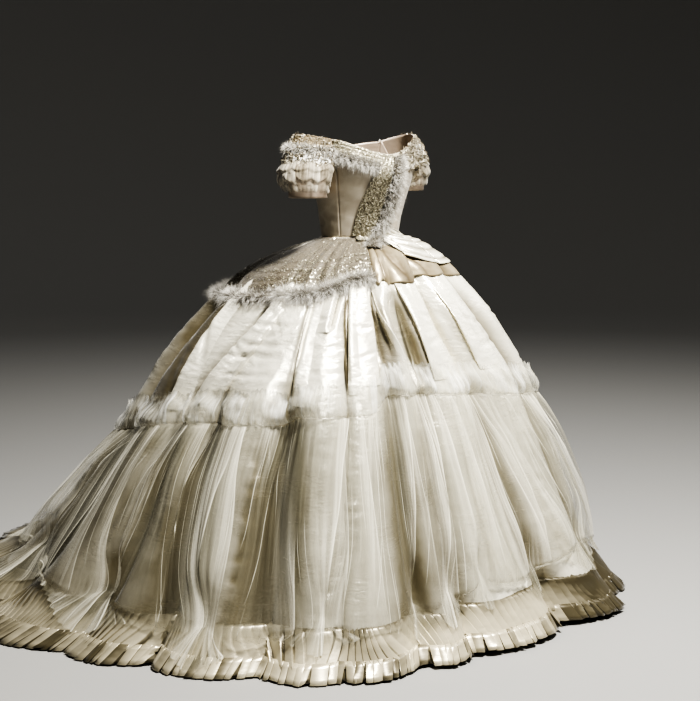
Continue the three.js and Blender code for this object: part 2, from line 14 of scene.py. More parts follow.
import bmesh
import bpy
import numpy as np
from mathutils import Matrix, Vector


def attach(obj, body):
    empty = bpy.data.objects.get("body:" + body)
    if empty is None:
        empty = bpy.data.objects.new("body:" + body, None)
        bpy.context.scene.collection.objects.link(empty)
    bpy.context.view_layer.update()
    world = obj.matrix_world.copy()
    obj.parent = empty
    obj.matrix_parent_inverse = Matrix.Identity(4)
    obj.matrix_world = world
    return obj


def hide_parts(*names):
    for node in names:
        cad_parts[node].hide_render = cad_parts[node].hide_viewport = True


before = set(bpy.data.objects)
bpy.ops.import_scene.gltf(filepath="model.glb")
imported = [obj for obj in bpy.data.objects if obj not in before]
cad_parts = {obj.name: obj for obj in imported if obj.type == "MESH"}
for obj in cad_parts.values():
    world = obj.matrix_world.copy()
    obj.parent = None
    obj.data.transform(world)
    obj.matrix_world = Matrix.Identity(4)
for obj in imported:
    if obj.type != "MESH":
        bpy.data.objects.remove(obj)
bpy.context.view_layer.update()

BODY = "root"
LOWEST = -1.0731  # the lowest that cloth lies on the floor
HIP = 0.12  # the drop at which a place over the hips is turned to an angle
PIPE = 0.36  # the usual width of a pipe of cloth
SLOPE = 1.3  # distance down the skirt for each metre of drop
LOOP_RADIUS = 0.0055
LOOP_TURNS = 1.15
ON_FRONT = ("satin_front",)
QUARTERS = ("back_right", "front_right", "front_left", "back_left")
Array = np.ndarray
Draws = np.random.Generator
Piece = bpy.types.Object
Mesh = bpy.types.Mesh
Node = bpy.types.Node
NodeTree = bpy.types.NodeTree
Socket = bpy.types.NodeSocket
Sockets = bpy.types.NodeOutputs
Feed = Socket | float
Color = tuple[float, float, float, float]
Pairs = tuple[tuple[float, float], ...]
Triples = tuple[tuple[float, float, float], ...]
log = logging.getLogger("gown")


# ---------- Numbers ----------
def smooth(x: Array, low: float, high: float) -> Array:
    """Rises from 0 at low to 1 at high with level ends."""
    t = np.clip((x - low) / (high - low), 0.0, 1.0)
    return t * t * (3.0 - 2.0 * t)


def mix(a: Array, b: Array, t: Array) -> Array:
    """The value a share t of the way from a to b."""
    return a + (b - a) * t


def wrapped(angle: Array) -> Array:
    """An angle in degrees brought between -180 and 180."""
    return (angle + 180.0) % 360.0 - 180.0


def bell(x: Array, width: float) -> Array:
    """A soft bump of height 1 and the given half width."""
    return np.exp(-((x / width) ** 2))


def unit(vectors: Array) -> Array:
    """Vectors brought to length 1 along their last axis."""
    return vectors / np.maximum(np.linalg.norm(vectors, axis=-1, keepdims=True), 1e-12)


def travelled(points: Array) -> Array:
    """The distance along a line of points from the first to each."""
    return np.concatenate([[0.0], np.cumsum(np.linalg.norm(np.diff(points, axis=0), axis=1))])


class Curve:
    """A smooth curve through a short table of points, held level past its ends."""

    def __init__(self, *points: tuple[float, float]) -> None:
        """Keeps the points.

        Args:
            points: Places and values, in rising order of place.
        """
        self.at = np.array([p[0] for p in points], float)
        self.value = np.array([p[1] for p in points], float)
        last = len(points) - 1
        before = np.maximum(np.arange(last + 1) - 1, 0)
        after = np.minimum(np.arange(last + 1) + 1, last)
        self.slope = (self.value[after] - self.value[before]) / (self.at[after] - self.at[before])

    def __call__(self, x: Array) -> Array:
        """The curve's value at x."""
        x = np.clip(x, self.at[0], self.at[-1])
        i = np.clip(np.searchsorted(self.at, x, side="left") - 1, 0, len(self.at) - 2)
        span = self.at[i + 1] - self.at[i]
        t = (x - self.at[i]) / span
        base = mix(self.value[i], self.value[i + 1], t * t * (3 - 2 * t))
        start = self.slope[i] * span * t * (1 - t) ** 2
        end = self.slope[i + 1] * span * t * t * (1 - t)
        return base + start - end


class Crumple:
    """Smooth noise over a plane that is the same on every run."""

    CELLS = 256

    def __init__(self, seed: int) -> None:
        """Draws the lattice of heights.

        Args:
            seed: Picks one pattern.
        """
        self.heights = np.random.default_rng(seed).uniform(-1, 1, (self.CELLS, self.CELLS))

    def __call__(self, x: Array, y: Array) -> Array:
        """Noise between -1 and 1, with one lump to each unit of x and y."""
        i, j = np.floor(x).astype(int), np.floor(y).astype(int)
        s, t = x - i, y - j
        s, t = s * s * (3 - 2 * s), t * t * (3 - 2 * t)
        h = self.heights
        i0, i1, j0, j1 = i % self.CELLS, (i + 1) % self.CELLS, j % self.CELLS, (j + 1) % self.CELLS
        return mix(mix(h[i0, j0], h[i1, j0], s), mix(h[i0, j1], h[i1, j1], s), t)

    def layered(self, x: Array, y: Array, layers: int = 3) -> Array:
        """Noise with finer and fainter lumps added to it."""
        return sum(self(x * 2**k + 17.3 * k, y * 2**k - 9.1 * k) / 2**k for k in range(layers))

    def ridged(self, x: Array, y: Array, layers: int = 3) -> Array:
        """Noise of sharp ridges, as on crushed silk, between 0 and about 1."""
        noise = [self(x * 2**k + 5.7 * k, y * 2**k + 3.1 * k) for k in range(layers)]
        return sum((1 - np.abs(part)) ** 2 / 2**k for k, part in enumerate(noise)) / 1.75


def grid_normals(points: Array) -> Array:
    """Normals out of the gown for a grid whose rows run down and columns to the wearer's left."""
    return unit(np.cross(np.gradient(points, axis=0), np.gradient(points, axis=1)))


# ---------- The form that the skirt hangs on ----------
@dataclass(frozen=True)
class Folds:
    """The folds between the pipes of the skirt, one row each.

    The columns are the fold's angle at three drops, the half width of its dip in degrees, and how
    deep the dip is above and below the tulle heading.
    """

    rows: tuple[tuple[float, float, float, float, float, float], ...] = (
        (-162, -160, -160, 6, 0.020, 0.045),
        (-141, -141, -140, 6, 0.018, 0.040),
        (-121, -121, -121, 5, 0.030, 0.050),
        (-80, -97, -96, 4, 0.010, 0.022),
        (-73, -86, -81, 4, 0.005, 0.030),
        (-61, -61, -58, 8, 0.014, 0.048),
        (-46, -42, -42, 3, 0.014, 0.008),
        (-31, -26, -23, 6, 0.042, 0.050),
        (-17, -12, -9, 5, 0.036, 0.026),
        (11, 21, 30, 6, 0.032, 0.038),
        (45, 52, 58, 6, 0.024, 0.040),
        (72, 76, 80, 6, 0.022, 0.036),
        (96, 100, 103, 6, 0.020, 0.042),
        (120, 122, 123, 5, 0.028, 0.046),
        (140, 141, 142, 6, 0.018, 0.040),
        (159, 161, 161, 6, 0.020, 0.044),
        (179, 180, 180, 6, 0.018, 0.040),
    )
    levels: tuple[float, float, float] = (0.150, 0.450, 1.000)

    @property
    def count(self) -> int:
        """The number of pipes in the round."""
        return len(self.rows)

    def angle(self, index: Array, drop: Array) -> Array:
        """The angle of a numbered fold at a drop, counted on past the last fold."""
        table = np.array(self.rows)
        row = table[index % self.count]
        high = smooth(drop, self.levels[0], self.levels[1])
        low = smooth(drop, self.levels[1], self.levels[2])
        return mix(mix(row[..., 0], row[..., 1], high), row[..., 2], low) + 360.0 * (index // self.count)

    def dip(self, index: Array, angle: Array, drop: Array) -> Array:
        """How far a numbered fold draws the cloth in at an angle and a drop."""
        row = np.array(self.rows)[index % self.count]
        depth = mix(row[..., 4] * smooth(drop, 0.0, 0.220), row[..., 5], smooth(drop, 0.320, 0.560))
        away = (angle - self.angle(index, drop)) / row[..., 3]
        return depth / (1 + away * away) ** 1.5


def paired(rows: Sequence[Sequence[float]], column: int) -> Curve:
    """A curve from a table's first column to another of its columns."""
    return Curve(*[(row[0], row[column]) for row in rows])


HEM_PLAN = (
    (-180, 1.560, 0.0), (-165, 1.530, 0.0), (-150, 1.450, 0.0), (-135, 1.330, 0.0), (-120, 1.185, 0.0),
    (-105, 1.030, 0.0), (-90, 0.900, 0.0), (-75, 0.822, 0.0), (-60, 0.795, 0.0), (-45, 0.760, 0.0),
    (-30, 0.702, 0.004), (-15, 0.648, 0.008), (0, 0.612, 0.010), (15, 0.610, 0.012), (30, 0.656, 0.012),
    (45, 0.734, 0.008), (60, 0.800, 0.0), (75, 0.838, 0.0), (90, 0.895, 0.0), (105, 1.000, 0.0),
    (120, 1.140, 0.0), (135, 1.295, 0.0), (150, 1.430, 0.0), (165, 1.520, 0.0), (180, 1.560, 0.0),
)  # angle, reach of the hem from the waist's axis, lift off the floor
PROFILE = (
    (0.0, 0.0, 0.0), (0.012, 0.03, 0.012), (0.045, 0.12, 0.08), (0.090, 0.215, 0.145), (0.140, 0.30, 0.20),
    (0.200, 0.38, 0.252), (0.280, 0.46, 0.308), (0.400, 0.562, 0.38), (0.600, 0.68, 0.495),
    (0.780, 0.775, 0.61), (0.920, 0.862, 0.725), (1.015, 0.94, 0.862), (1.075, 1.0, 1.0),
)  # drop, share of the way from waist to hem in front, and behind
GATHERS = (
    (-180, 0.590), (-135, 0.570), (-115, 0.525), (-95, 0.487), (-71, 0.472), (-62, 0.468), (-57, 0.446),
    (-34, 0.440), (-27, 0.404), (-13, 0.402), (10, 0.416), (43, 0.442), (80, 0.480), (115, 0.525),
    (135, 0.570), (180, 0.590),
)  # angle, drop of the line where the tulle is gathered to the satin
PEPLUM_EDGES = (
    (-130, 0.138, 0.184), (-100, 0.132, 0.176), (-60, 0.113, 0.156), (-48, 0.094, 0.134),
    (-38, 0.082, 0.116), (60, 0.118, 0.150),
)  # angle, drop of the peplum's hem, and of the fur's lower edge


@dataclass(frozen=True)
class SkirtForm:
    """The skirt's surface: a dome with a train, drawn in at its folds."""

    length: float = 1.075
    waist_side: float = 0.118
    waist_front: float = 0.092
    roundness: float = 0.09
    back_angles: tuple[float, float] = (55.0, 165.0)
    flounce_top: float = 0.955
    frill_top: float = 1.030
    hem_drop: float = 1.071
    arc_steps: int = 3400
    folds: Folds = Folds()
    hem_reach: Curve = paired(HEM_PLAN, 1)
    hem_lift: Curve = paired(HEM_PLAN, 2)
    front: Curve = paired(PROFILE, 1)
    back: Curve = paired(PROFILE, 2)
    gather: Curve = paired(GATHERS, 1)
    peplum_hem: Curve = paired(PEPLUM_EDGES, 1)
    peplum_fur: Curve = paired(PEPLUM_EDGES, 2)

    def angle(self, across: Array, drop: Array) -> Array:
        """The angle of a place across the skirt at a drop."""
        index = np.floor(across).astype(int)
        share = across - index
        return mix(self.folds.angle(index, drop), self.folds.angle(index + 1, drop), share)

    def reach(self, angle: Array, drop: Array) -> Array:
        """Distance from the axis to the smooth form that the pipes touch."""
        turned = wrapped(angle)
        radians = np.radians(turned)
        waist = 1 / np.hypot(np.sin(radians) / self.waist_side, np.cos(radians) / self.waist_front)
        behind = smooth(np.abs(turned), *self.back_angles)
        share = mix(self.front(drop), self.back(drop), behind)
        return mix(waist, self.hem_reach(turned), share)

    def depth(self, across: Array, drop: Array) -> Array:
        """How far the cloth lies inside the smooth form."""
        index = np.floor(across).astype(int)
        angle = self.angle(across, drop)
        pipe = np.radians(self.folds.angle(index + 1, drop) - self.folds.angle(index, drop))
        off = 2 * (across - index) - 1
        rounding = self.roundness * pipe * self.reach(angle, drop) * off * off
        return rounding + self.folds.dip(index, angle, drop) + self.folds.dip(index + 1, angle, drop)

    def point(self, across: Array, drop: Array, folded: Array = 1.0, stand: Array = 0.0) -> Array:
        """A point of the skirt, or of a layer over it.

        Args:
            across: Place across the skirt.
            drop: Depth below the waist.
            folded: The share of the folds that the layer follows.
            stand: How far it stands off them.

        Returns:
            Points, with a last axis of 3.
        """
        angle = self.angle(across, drop)
        return self.placed(angle, drop, self.reach(angle, drop) - folded * self.depth(across, drop) + stand)

    def placed(self, angle: Array, drop: Array, reach: Array) -> Array:
        """The point at an angle, a drop and a distance from the axis."""
        lift = self.hem_lift(wrapped(angle)) * (drop / self.length) ** 4
        radians = np.radians(angle)
        return np.stack([reach * np.sin(radians), -reach * np.cos(radians), lift - drop], axis=-1)

    def normal(self, across: Array, drop: Array) -> Array:
        """The satin's outward normal at a place and a drop."""
        step = 1e-3
        turn = self.point(across + step, drop) - self.point(across - step, drop)
        fall = self.point(across, drop + step) - self.point(across, np.maximum(drop - step, 0))
        return unit(np.cross(fall, turn))

    def over(self, across: Array, drop: Array, lift: Array) -> Array:
        """Points a lift off the satin, given arrays of places and lifts."""
        return self.point(across, drop) + self.normal(across, drop) * lift[..., None]

    def turn(self, across: Array, drop: float) -> Array:
        """The angle of a place at a drop, between -180 and 180."""
        return wrapped(self.angle(across, drop))

    def across_at(self, angle: Array, drop: float) -> Array:
        """The place across the skirt that lies at an angle, at one drop."""
        places = np.linspace(-self.folds.count, 2 * self.folds.count, 3001)
        return np.interp(angle, self.angle(places, drop), places)

    def arc(self, drop: float) -> tuple[Array, Array]:
        """Places across the skirt, and the distance round the pipes at one drop from fold 0 to each."""
        across = np.linspace(0, self.folds.count, self.arc_steps + 1)
        return across, travelled(self.point(across, drop, folded=0.5))


FORM = SkirtForm()


# ---------- Making meshes ----------


def laid_out(points: Array, fullness: float) -> tuple[Array, Array]:
    """The cloth's own coordinates at each point of a grid, in metres.

    Args:
        points: Rows by columns by 3.
        fullness: How much wider the cloth is than the grid.

    Returns:
        Distances across and down, each rows by columns.
    """
    across = travelled(points[len(points) // 2]) * fullness
    steps = np.linalg.norm(np.diff(points, axis=0), axis=2).mean(axis=1)
    down = np.concatenate([[0.0], np.cumsum(steps)])
    shape = points.shape[:2]
    return np.broadcast_to(across, shape), np.broadcast_to(-down[:, None], shape)


def grid_mesh(name: str, columns: int, rows: int, gaps: bool = False) -> tuple[Mesh, Array, Array]:
    """A mesh of squares, and which row and column each vertex belongs to.

    Args:
        name: The mesh's name.
        columns: Vertices across.
        rows: Vertices down.
        gaps: True to cut the grid into ribbons one square wide.

    Returns:
        The mesh, and each vertex's row and column.
    """
    bm = bmesh.new()
    bmesh.ops.create_grid(bm, x_segments=columns - 1, y_segments=rows - 1, size=1.0)
    if gaps:
        share = {face: (face.calc_center_median().x + 1) / 2 for face in bm.faces}
        between = [face for face, place in share.items() if int(place * (columns - 1)) % 2]
        bmesh.ops.delete(bm, geom=between, context="FACES")
    mesh = bpy.data.meshes.new(name)
    bm.to_mesh(mesh)
    bm.free()
    place = np.empty(len(mesh.vertices) * 3)
    mesh.vertices.foreach_get("co", place)
    place = place.reshape(-1, 3)
    column = np.rint((place[:, 0] + 1) / 2 * (columns - 1)).astype(int)
    row = np.rint((1 - place[:, 1]) / 2 * (rows - 1)).astype(int)
    return mesh, row, column


def shown(mesh: Mesh) -> Piece:
    """Puts a mesh in the scene as an object at the origin, smoothly shaded."""
    mesh.shade_smooth()
    piece = bpy.data.objects.new(mesh.name, mesh)
    bpy.context.scene.collection.objects.link(piece)
    return piece


def set_cloth_map(mesh: Mesh, across: Array, down: Array) -> None:
    """Gives each corner of a mesh the cloth's own coordinates.

    Args:
        mesh: The mesh.
        across: Distance across the cloth at each vertex.
        down: Distance down it.
    """
    corner = np.empty(len(mesh.loops), np.int32)
    mesh.loops.foreach_get("vertex_index", corner)
    layer = mesh.uv_layers.new(name="cloth")
    place = np.stack([across[corner], down[corner]], axis=1)
    layer.uv.foreach_set("vector", place.astype(np.float32).ravel())


def cloth(
    name: str,
    points: Array,
    wall: float,
    fullness: float,
    closed: bool,
    masks: dict[str, Array],
) -> Piece:
    """Makes a sheet of cloth.

    Args:
        name: The piece's name.
        points: Rows by columns by 3; rows run down and columns to the wearer's left.
        wall: Its thickness, laid inwards; 0 for a single sheet.
        fullness: How much wider the cloth is than the grid.
        closed: True if the last column is sewn to the first.
        masks: Numbers kept at each point for the material.

    Returns:
        The object.
    """
    rows, columns = points.shape[:2]
    mesh, i, j = grid_mesh(name, columns, rows)
    mesh.vertices.foreach_set("co", points[i, j].ravel())
    across, down = laid_out(points, fullness)
    set_cloth_map(mesh, across[i, j], down[i, j])
    for mask, values in masks.items():
        layer = mesh.attributes.new(mask, "FLOAT", "POINT")
        layer.data.foreach_set("value", values[i, j].astype(np.float32))
    if closed:
        bm = bmesh.new()
        bm.from_mesh(mesh)
        bm.verts.ensure_lookup_table()
        ends = [bm.verts[int(k)] for k in np.flatnonzero((j == 0) | (j == columns - 1))]
        bmesh.ops.remove_doubles(bm, verts=ends, dist=2e-5)
        bm.to_mesh(mesh)
        bm.free()
    piece = shown(mesh)
    if wall:
        solid = piece.modifiers.new("wall", "SOLIDIFY")
        solid.thickness = wall
        solid.offset = -1
    return piece


def ribbons(name: str, points: Array) -> Piece:
    """Many narrow ribbons as one mesh.

    Args:
        name: The piece's name.
        points: Ribbons by rows by 2 sides by 3.

    Returns:
        The object.
    """
    count, rows = points.shape[:2]
    mesh, i, j = grid_mesh(name, 2 * count, rows, gaps=True)
    mesh.vertices.foreach_set("co", points[j // 2, i, j % 2].ravel())
    length = np.broadcast_to(np.arange(rows) / (rows - 1), (count, rows))
    tint = np.random.default_rng(count).uniform(0, 1, count)
    set_cloth_map(mesh, tint[j // 2], length[j // 2, i])
    return shown(mesh)


def sided(middle: Array, half: Array) -> Array:
    """The two edges of ribbons, a half width either side of their middles."""
    return np.stack([middle - half, middle + half], axis=1)


def strands(roots: Array, way: Array, side: Array, length: Array, width: float, droop: float) -> Array:
    """Thin tapered hairs.

    Args:
        roots: Where they grow, count by 3.
        way: The directions in which they leave.
        side: The directions of their flat width.
        length: Their lengths.
        width: Width at the root.
        droop: How far a tip sinks, as a share of the length.

    Returns:
        Points for ribbons().
    """
    rows = []
    for share in (0.0, 0.55, 1.0):
        middle = roots + way * (length * share)[:, None]
        middle[:, 2] -= droop * length * share**2
        rows.append(sided(middle, side * width / 2 * (1.0 - 0.85 * share)))
    return np.stack(rows, axis=1)


def discs(places: Array, normals: Array, ways: Array, size: Array) -> Array:
    """Small six-sided discs.

    Args:
        places: Their middles, count by 3.
        normals: What they face.
        ways: A direction in each one's plane.
        size: Their radii.

    Returns:
        Points for ribbons().
    """
    across = unit(np.cross(normals, ways))
    up = np.cross(across, normals)
    size = size[:, None]
    rows = [
        sided(places + up * size * height, across * size * half)
        for height, half in ((0.87, 0.5), (0.0, 1.0), (-0.87, 0.5))
    ]
    return np.stack(rows, axis=1)


def sample_grid(points: Array, row: Array, column: Array) -> Array:
    """Points at fractional rows and columns of a grid, one for each pair."""
    i = np.clip(np.floor(row).astype(int), 0, points.shape[0] - 2)
    j = np.clip(np.floor(column).astype(int), 0, points.shape[1] - 2)
    s, t = (row - i)[:, None], (column - j)[:, None]
    top = mix(points[i, j], points[i, j + 1], t)
    return mix(top, mix(points[i + 1, j], points[i + 1, j + 1], t), s)


def sequins(
    points: Array,
    row: Array,
    column: Array,
    rng: Draws,
    tilt: float,
    lift: float,
    sizes: tuple[float, float],
) -> Array:
    """Sequins sewn on a sheet, each tilted a little its own way.

    Args:
        points: The sheet's grid.
        row: The row of each sequin.
        column: The column of each.
        rng: The source of their tilts and sizes.
        tilt: How far they tilt.
        lift: How far they stand off the sheet.
        sizes: Their least and greatest radius.

    Returns:
        Points for ribbons().
    """
    normals = sample_grid(grid_normals(points), row, column)
    normals = unit(normals + rng.normal(0, tilt, normals.shape))
    places = sample_grid(points, row, column) + normals * lift
    ways = rng.normal(0, 1, normals.shape)
    return discs(places, normals, ways, rng.uniform(*sizes, len(row)))


class Held(Enum):
    """How a sheet of cloth is held."""

    HUNG = "hung"
    GATHERED = "gathered"
    STRETCHED = "stretched"
    DRAPED = "draped"


def dress(piece: Piece, finish: "Finish", *nodes: str) -> None:
    """Gives a piece its material and ties it to the frame.

    Args:
        piece: The object.
        finish: Its finish.
        nodes: The solids that it stands for.
    """
    piece.data.materials.append(finish.material())
    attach(piece, BODY)
    if nodes:
        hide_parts(*nodes)
    log.info("%s: %d faces", piece.name, len(piece.data.polygons))


def shade_inside_with(piece: Piece, finish: "Finish") -> None:
    """Gives a thick sheet's inner face and its rim another finish."""
    piece.data.materials.append(finish.material())
    piece.modifiers["wall"].material_offset = 1
    piece.modifiers["wall"].material_offset_rim = 1


@dataclass(frozen=True)
class Trim:
    """Sequins, loops or hairs that go with a sheet: their name, points and finish."""

    name: str
    points: Array
    finish: "Finish"

    def sewn(self) -> Piece:
        """Makes and dresses them."""
        piece = ribbons(self.name, self.points)
        dress(piece, self.finish)
        return piece


def lay(
    name: str,
    points: Array,
    finish: "Finish",
    held: Held,
    nodes: Sequence[str] = (),
    on: Sequence[str] = (),
    trims: Sequence[Trim] = (),
    wall: float = 0.0,
    fullness: float = 1.0,
    closed: bool = False,
    cut: Array | None = None,
    **masks: Array,
) -> Piece:
    """Args:
        name: The piece's name.
        points: Its grid of points.
        finish: Its finish.
        held: How it is held; not used.
        nodes: The solids that it stands for.
        on: What it hangs from or lies on; not used.
        trims: What is sewn on it.
        wall: Its thickness; 0 for a single sheet.
        fullness: How much wider the cloth is than the grid.
        closed: True if the last column is sewn to the first.
        cut: Not used.
        masks: Numbers kept at each point for the material.

    Returns:
        The object.
    """
    piece = cloth(name, points, wall, fullness, closed, masks)
    dress(piece, finish, *nodes)
    sewn = [trim.sewn() for trim in trims]
    return piece


def quarters(name: str) -> tuple[str, ...]:
    """The four solids of a layer that runs all round the skirt."""
    return tuple(f"{name}_{quarter}" for quarter in QUARTERS)


# ---------- Finishes ----------
def linear(red: int, green: int, blue: int) -> Color:
    """A colour for a shader from its everyday 0-255 values."""
    parts = [value / 255 for value in (red, green, blue)]
    return (*[p / 12.92 if p <= 0.04045 else ((p + 0.055) / 1.055) ** 2.4 for p in parts], 1.0)


class Tree:
    """Adds nodes to a tree in short calls."""

    def __init__(self, tree: NodeTree) -> None:
        """Keeps the tree."""
        self.tree = tree

    def add(self, kind: str, inputs: dict | None = None, **settings: object) -> Node:
        """Adds a node.

        Args:
            kind: The node's type, without its prefix.
            inputs: A value or a socket for each named input.
            settings: The node's own settings.

        Returns:
            The node.
        """
        node = self.tree.nodes.new("ShaderNode" + kind)
        for key, value in settings.items():
            setattr(node, key, value)
        for key, value in (inputs or {}).items():
            if isinstance(value, Socket):
                self.tree.links.new(value, node.inputs[key])
            else:
                node.inputs[key].default_value = value
        return node

    def calc(self, operation: str, *values: Feed) -> Socket:
        """The result of a Math node with the given operation and values."""
        return self.add("Math", dict(enumerate(values)), operation=operation).outputs[0]

    def between(self, value: Feed, low: float, high: float, out: tuple[float, float] = (0.0, 1.0)) -> Socket:
        """A value brought smoothly from one range to another and held there."""
        places = {"Value": value, "From Min": low, "From Max": high, "To Min": out[0], "To Max": out[1]}
        return self.add("MapRange", places, interpolation_type="SMOOTHSTEP").outputs["Result"]

    def noise(self, place: Socket, scale: float, detail: float = 2.0, rough: float = 0.5) -> Socket:
        """Noise at a place, between 0 and 1."""
        inputs = {"Vector": place, "Scale": scale, "Detail": detail, "Roughness": rough}
        return self.add("TexNoise", inputs).outputs["Fac"]

    def scaled(self, place: Socket, across: float, down: float) -> Socket:
        """A place stretched by its own amount each way."""
        return self.add("Mapping", {"Vector": place, "Scale": (across, down, 1.0)}).outputs[0]

    def blend(self, share: Feed, one: Socket | Color, other: Socket | Color) -> Socket:
        """A colour mixed from two."""
        return self.add("Mix", {0: share, 6: one, 7: other}, data_type="RGBA").outputs[2]

    def put(self, node: Node, key: str, socket: Socket) -> None:
        """Feeds one of a node's inputs."""
        self.tree.links.new(socket, node.inputs[key])

    def bump(self, shader: Node, height: Socket, depth: float) -> None:
        """Feeds a shader's normal with a height of the given depth in metres."""
        node = self.add("Bump", {"Height": height, "Distance": depth, "Strength": 1.0})
        self.put(shader, "Normal", node.outputs[0])

    def place(self, made: NodeTree, place: Socket, **values: float) -> Sockets:
        """Places a node group over the cloth, and gives its outputs by name."""
        return self.add("Group", {"Place": place, **values}, node_tree=made).outputs


def group(
    name: str, inputs: dict[str, float | None], outputs: Sequence[str], fill: Callable
) -> NodeTree:
    """A shader node group, built once.

    Args:
        name: Its name.
        inputs: Each input's name and value, or None where it is a place.
        outputs: Names of the numbers that it puts out.
        fill: Builds the inside from a Tree and the inputs' sockets, and returns the outputs by name.

    Returns:
        The group.
    """
    made = bpy.data.node_groups.get(name)
    if made:
        return made
    made = bpy.data.node_groups.new(name, "ShaderNodeTree")
    for key, value in inputs.items():
        kind = "NodeSocketVector" if value is None else "NodeSocketFloat"
        socket = made.interface.new_socket(name=key, in_out="INPUT", socket_type=kind)
        if value is not None:
            socket.default_value = value
    for key in outputs:
        made.interface.new_socket(name=key, in_out="OUTPUT", socket_type="NodeSocketFloat")
    start = made.nodes.new("NodeGroupInput")
    end = made.nodes.new("NodeGroupOutput")
    for key, socket in fill(Tree(made), start.outputs).items():
        made.links.new(socket, end.inputs[key])
    return made


def crushed_silk() -> NodeTree:
    """Small creases of crushed silk: their height, and a slow change of tone."""

    def fill(tree: Tree, at: Sockets) -> dict[str, Socket]:
        """Builds the creases from two sizes of noise."""
        size = at["Creases"]
        place = tree.add("VectorMath", {0: at["Place"], "Scale": size}, operation="SCALE").outputs[0]
        wide = tree.noise(tree.scaled(place, 0.5, 1.3), 1.0, 2.0, 0.5)
        sharp = tree.calc("ABSOLUTE", tree.calc("SUBTRACT", wide, 0.5))
        fine = tree.noise(tree.scaled(place, 1.1, 1.7), 1.0, 1.0, 0.5)
        ridge = tree.calc("ABSOLUTE", tree.calc("SUBTRACT", fine, 0.5))
        both = tree.calc("ADD", sharp, tree.calc("MULTIPLY", ridge, 0.4))
        patch = tree.between(tree.noise(place, 0.22, 1.0), 0.35, 0.62, (0.25, 1.0))
        height = tree.calc("MULTIPLY", both, patch)
        tone = tree.between(tree.noise(place, 0.35, 2.0), 0.35, 0.68)
        return {"Height": height, "Tone": tone}

    return group("crushed_silk", {"Place": None, "Creases": 30.0}, ["Height", "Tone"], fill)


def threads() -> NodeTree:
    """The height of fine threads that cross each other."""

    def fill(tree: Tree, at: Sockets) -> dict[str, Socket]:
        """Crosses two waves."""
        parts = tree.add("SeparateXYZ", {0: at["Place"]})
        turns = [tree.calc("MULTIPLY", parts.outputs[axis], at["Count"]) for axis in ("X", "Y")]
        return {"Height": tree.calc("MULTIPLY", *[tree.calc("SINE", turn) for turn in turns])}

    return group("threads", {"Place": None, "Count": 9000.0}, ["Height"], fill)


def streaks() -> NodeTree:
    """Broad milky laps of net with one sharp edge each, and thin lines that cross them.

    Each set of laps or lines has a gap between its lines, a slant, how far they wander, and a shift.
    """
    lap_sets = ((0.11, 0.12, 1.0, 0.0), (0.16, -0.10, 0.8, 0.37))
    line_sets = ((0.043, 0.07, 2.6, 0.0), (0.067, -0.15, 1.6, 3.0), (0.029, 0.03, 3.0, 5.0))

    def fill(tree: Tree, at: Sockets) -> dict[str, Socket]:
        """Lays skewed sets of laps and lines over each other, each broken off by noise."""
        place = at["Place"]
        parts = tree.add("SeparateXYZ", {0: place})
        drift = tree.noise(tree.scaled(place, 2.4, 1.5), 1.0, 2.0)

        def share(gap: float, skew: float, wander: float, shift: float) -> Socket:
            """How far along its gap a place lies, for lines a gap apart."""
            slanted = tree.calc("MULTIPLY_ADD", parts.outputs["Y"], skew, parts.outputs["X"])
            count = tree.calc("MULTIPLY_ADD", slanted, 1 / gap, shift)
            return tree.calc("FRACT", tree.calc("MULTIPLY_ADD", drift, wander, count))

        def seen(across: float, down: float, low: float) -> Socket:
            """Where a set of lines shows."""
            return tree.between(tree.noise(tree.scaled(place, across, down), 1.0, 1.0), low, low + 0.14)

        fine = tree.between(tree.noise(tree.scaled(place, 70.0, 1.6), 1.0, 3.0), 0.32, 0.66, (0.55, 1.0))
        lines, laps = [], []
        for gap, skew, wander, shift in lap_sets:
            part = share(gap, skew, wander, shift)
            shows = seen(3.1 + 5 * shift, 0.7, 0.42)
            cut = tree.calc("MULTIPLY", tree.between(part, 0.975, 1.0, (1.0, 0.0)), shows)
            milk = tree.calc("MULTIPLY", tree.between(part, 0.25, 0.95), fine)
            laps.append(tree.calc("MULTIPLY", cut, milk))
            lines.append(tree.calc("MULTIPLY", cut, tree.between(part, 0.94, 0.975)))
        for gap, skew, wander, shift in line_sets:
            off = tree.calc("ABSOLUTE", tree.calc("SUBTRACT", share(gap, skew, wander, shift), 0.5))
            thin = tree.between(off, 0.0, 0.0018 / gap, (1.0, 0.0))
            lines.append(tree.calc("MULTIPLY", thin, seen(13.0 + shift, 2.2, 0.50)))
        most = lines[0]
        for line in lines[1:]:
            most = tree.calc("MAXIMUM", most, line)
        return {"Lines": most, "Laps": tree.calc("MAXIMUM", laps[0], laps[1]), "Fine": fine}

    return group("streaks", {"Place": None}, ["Lines", "Laps", "Fine"], fill)


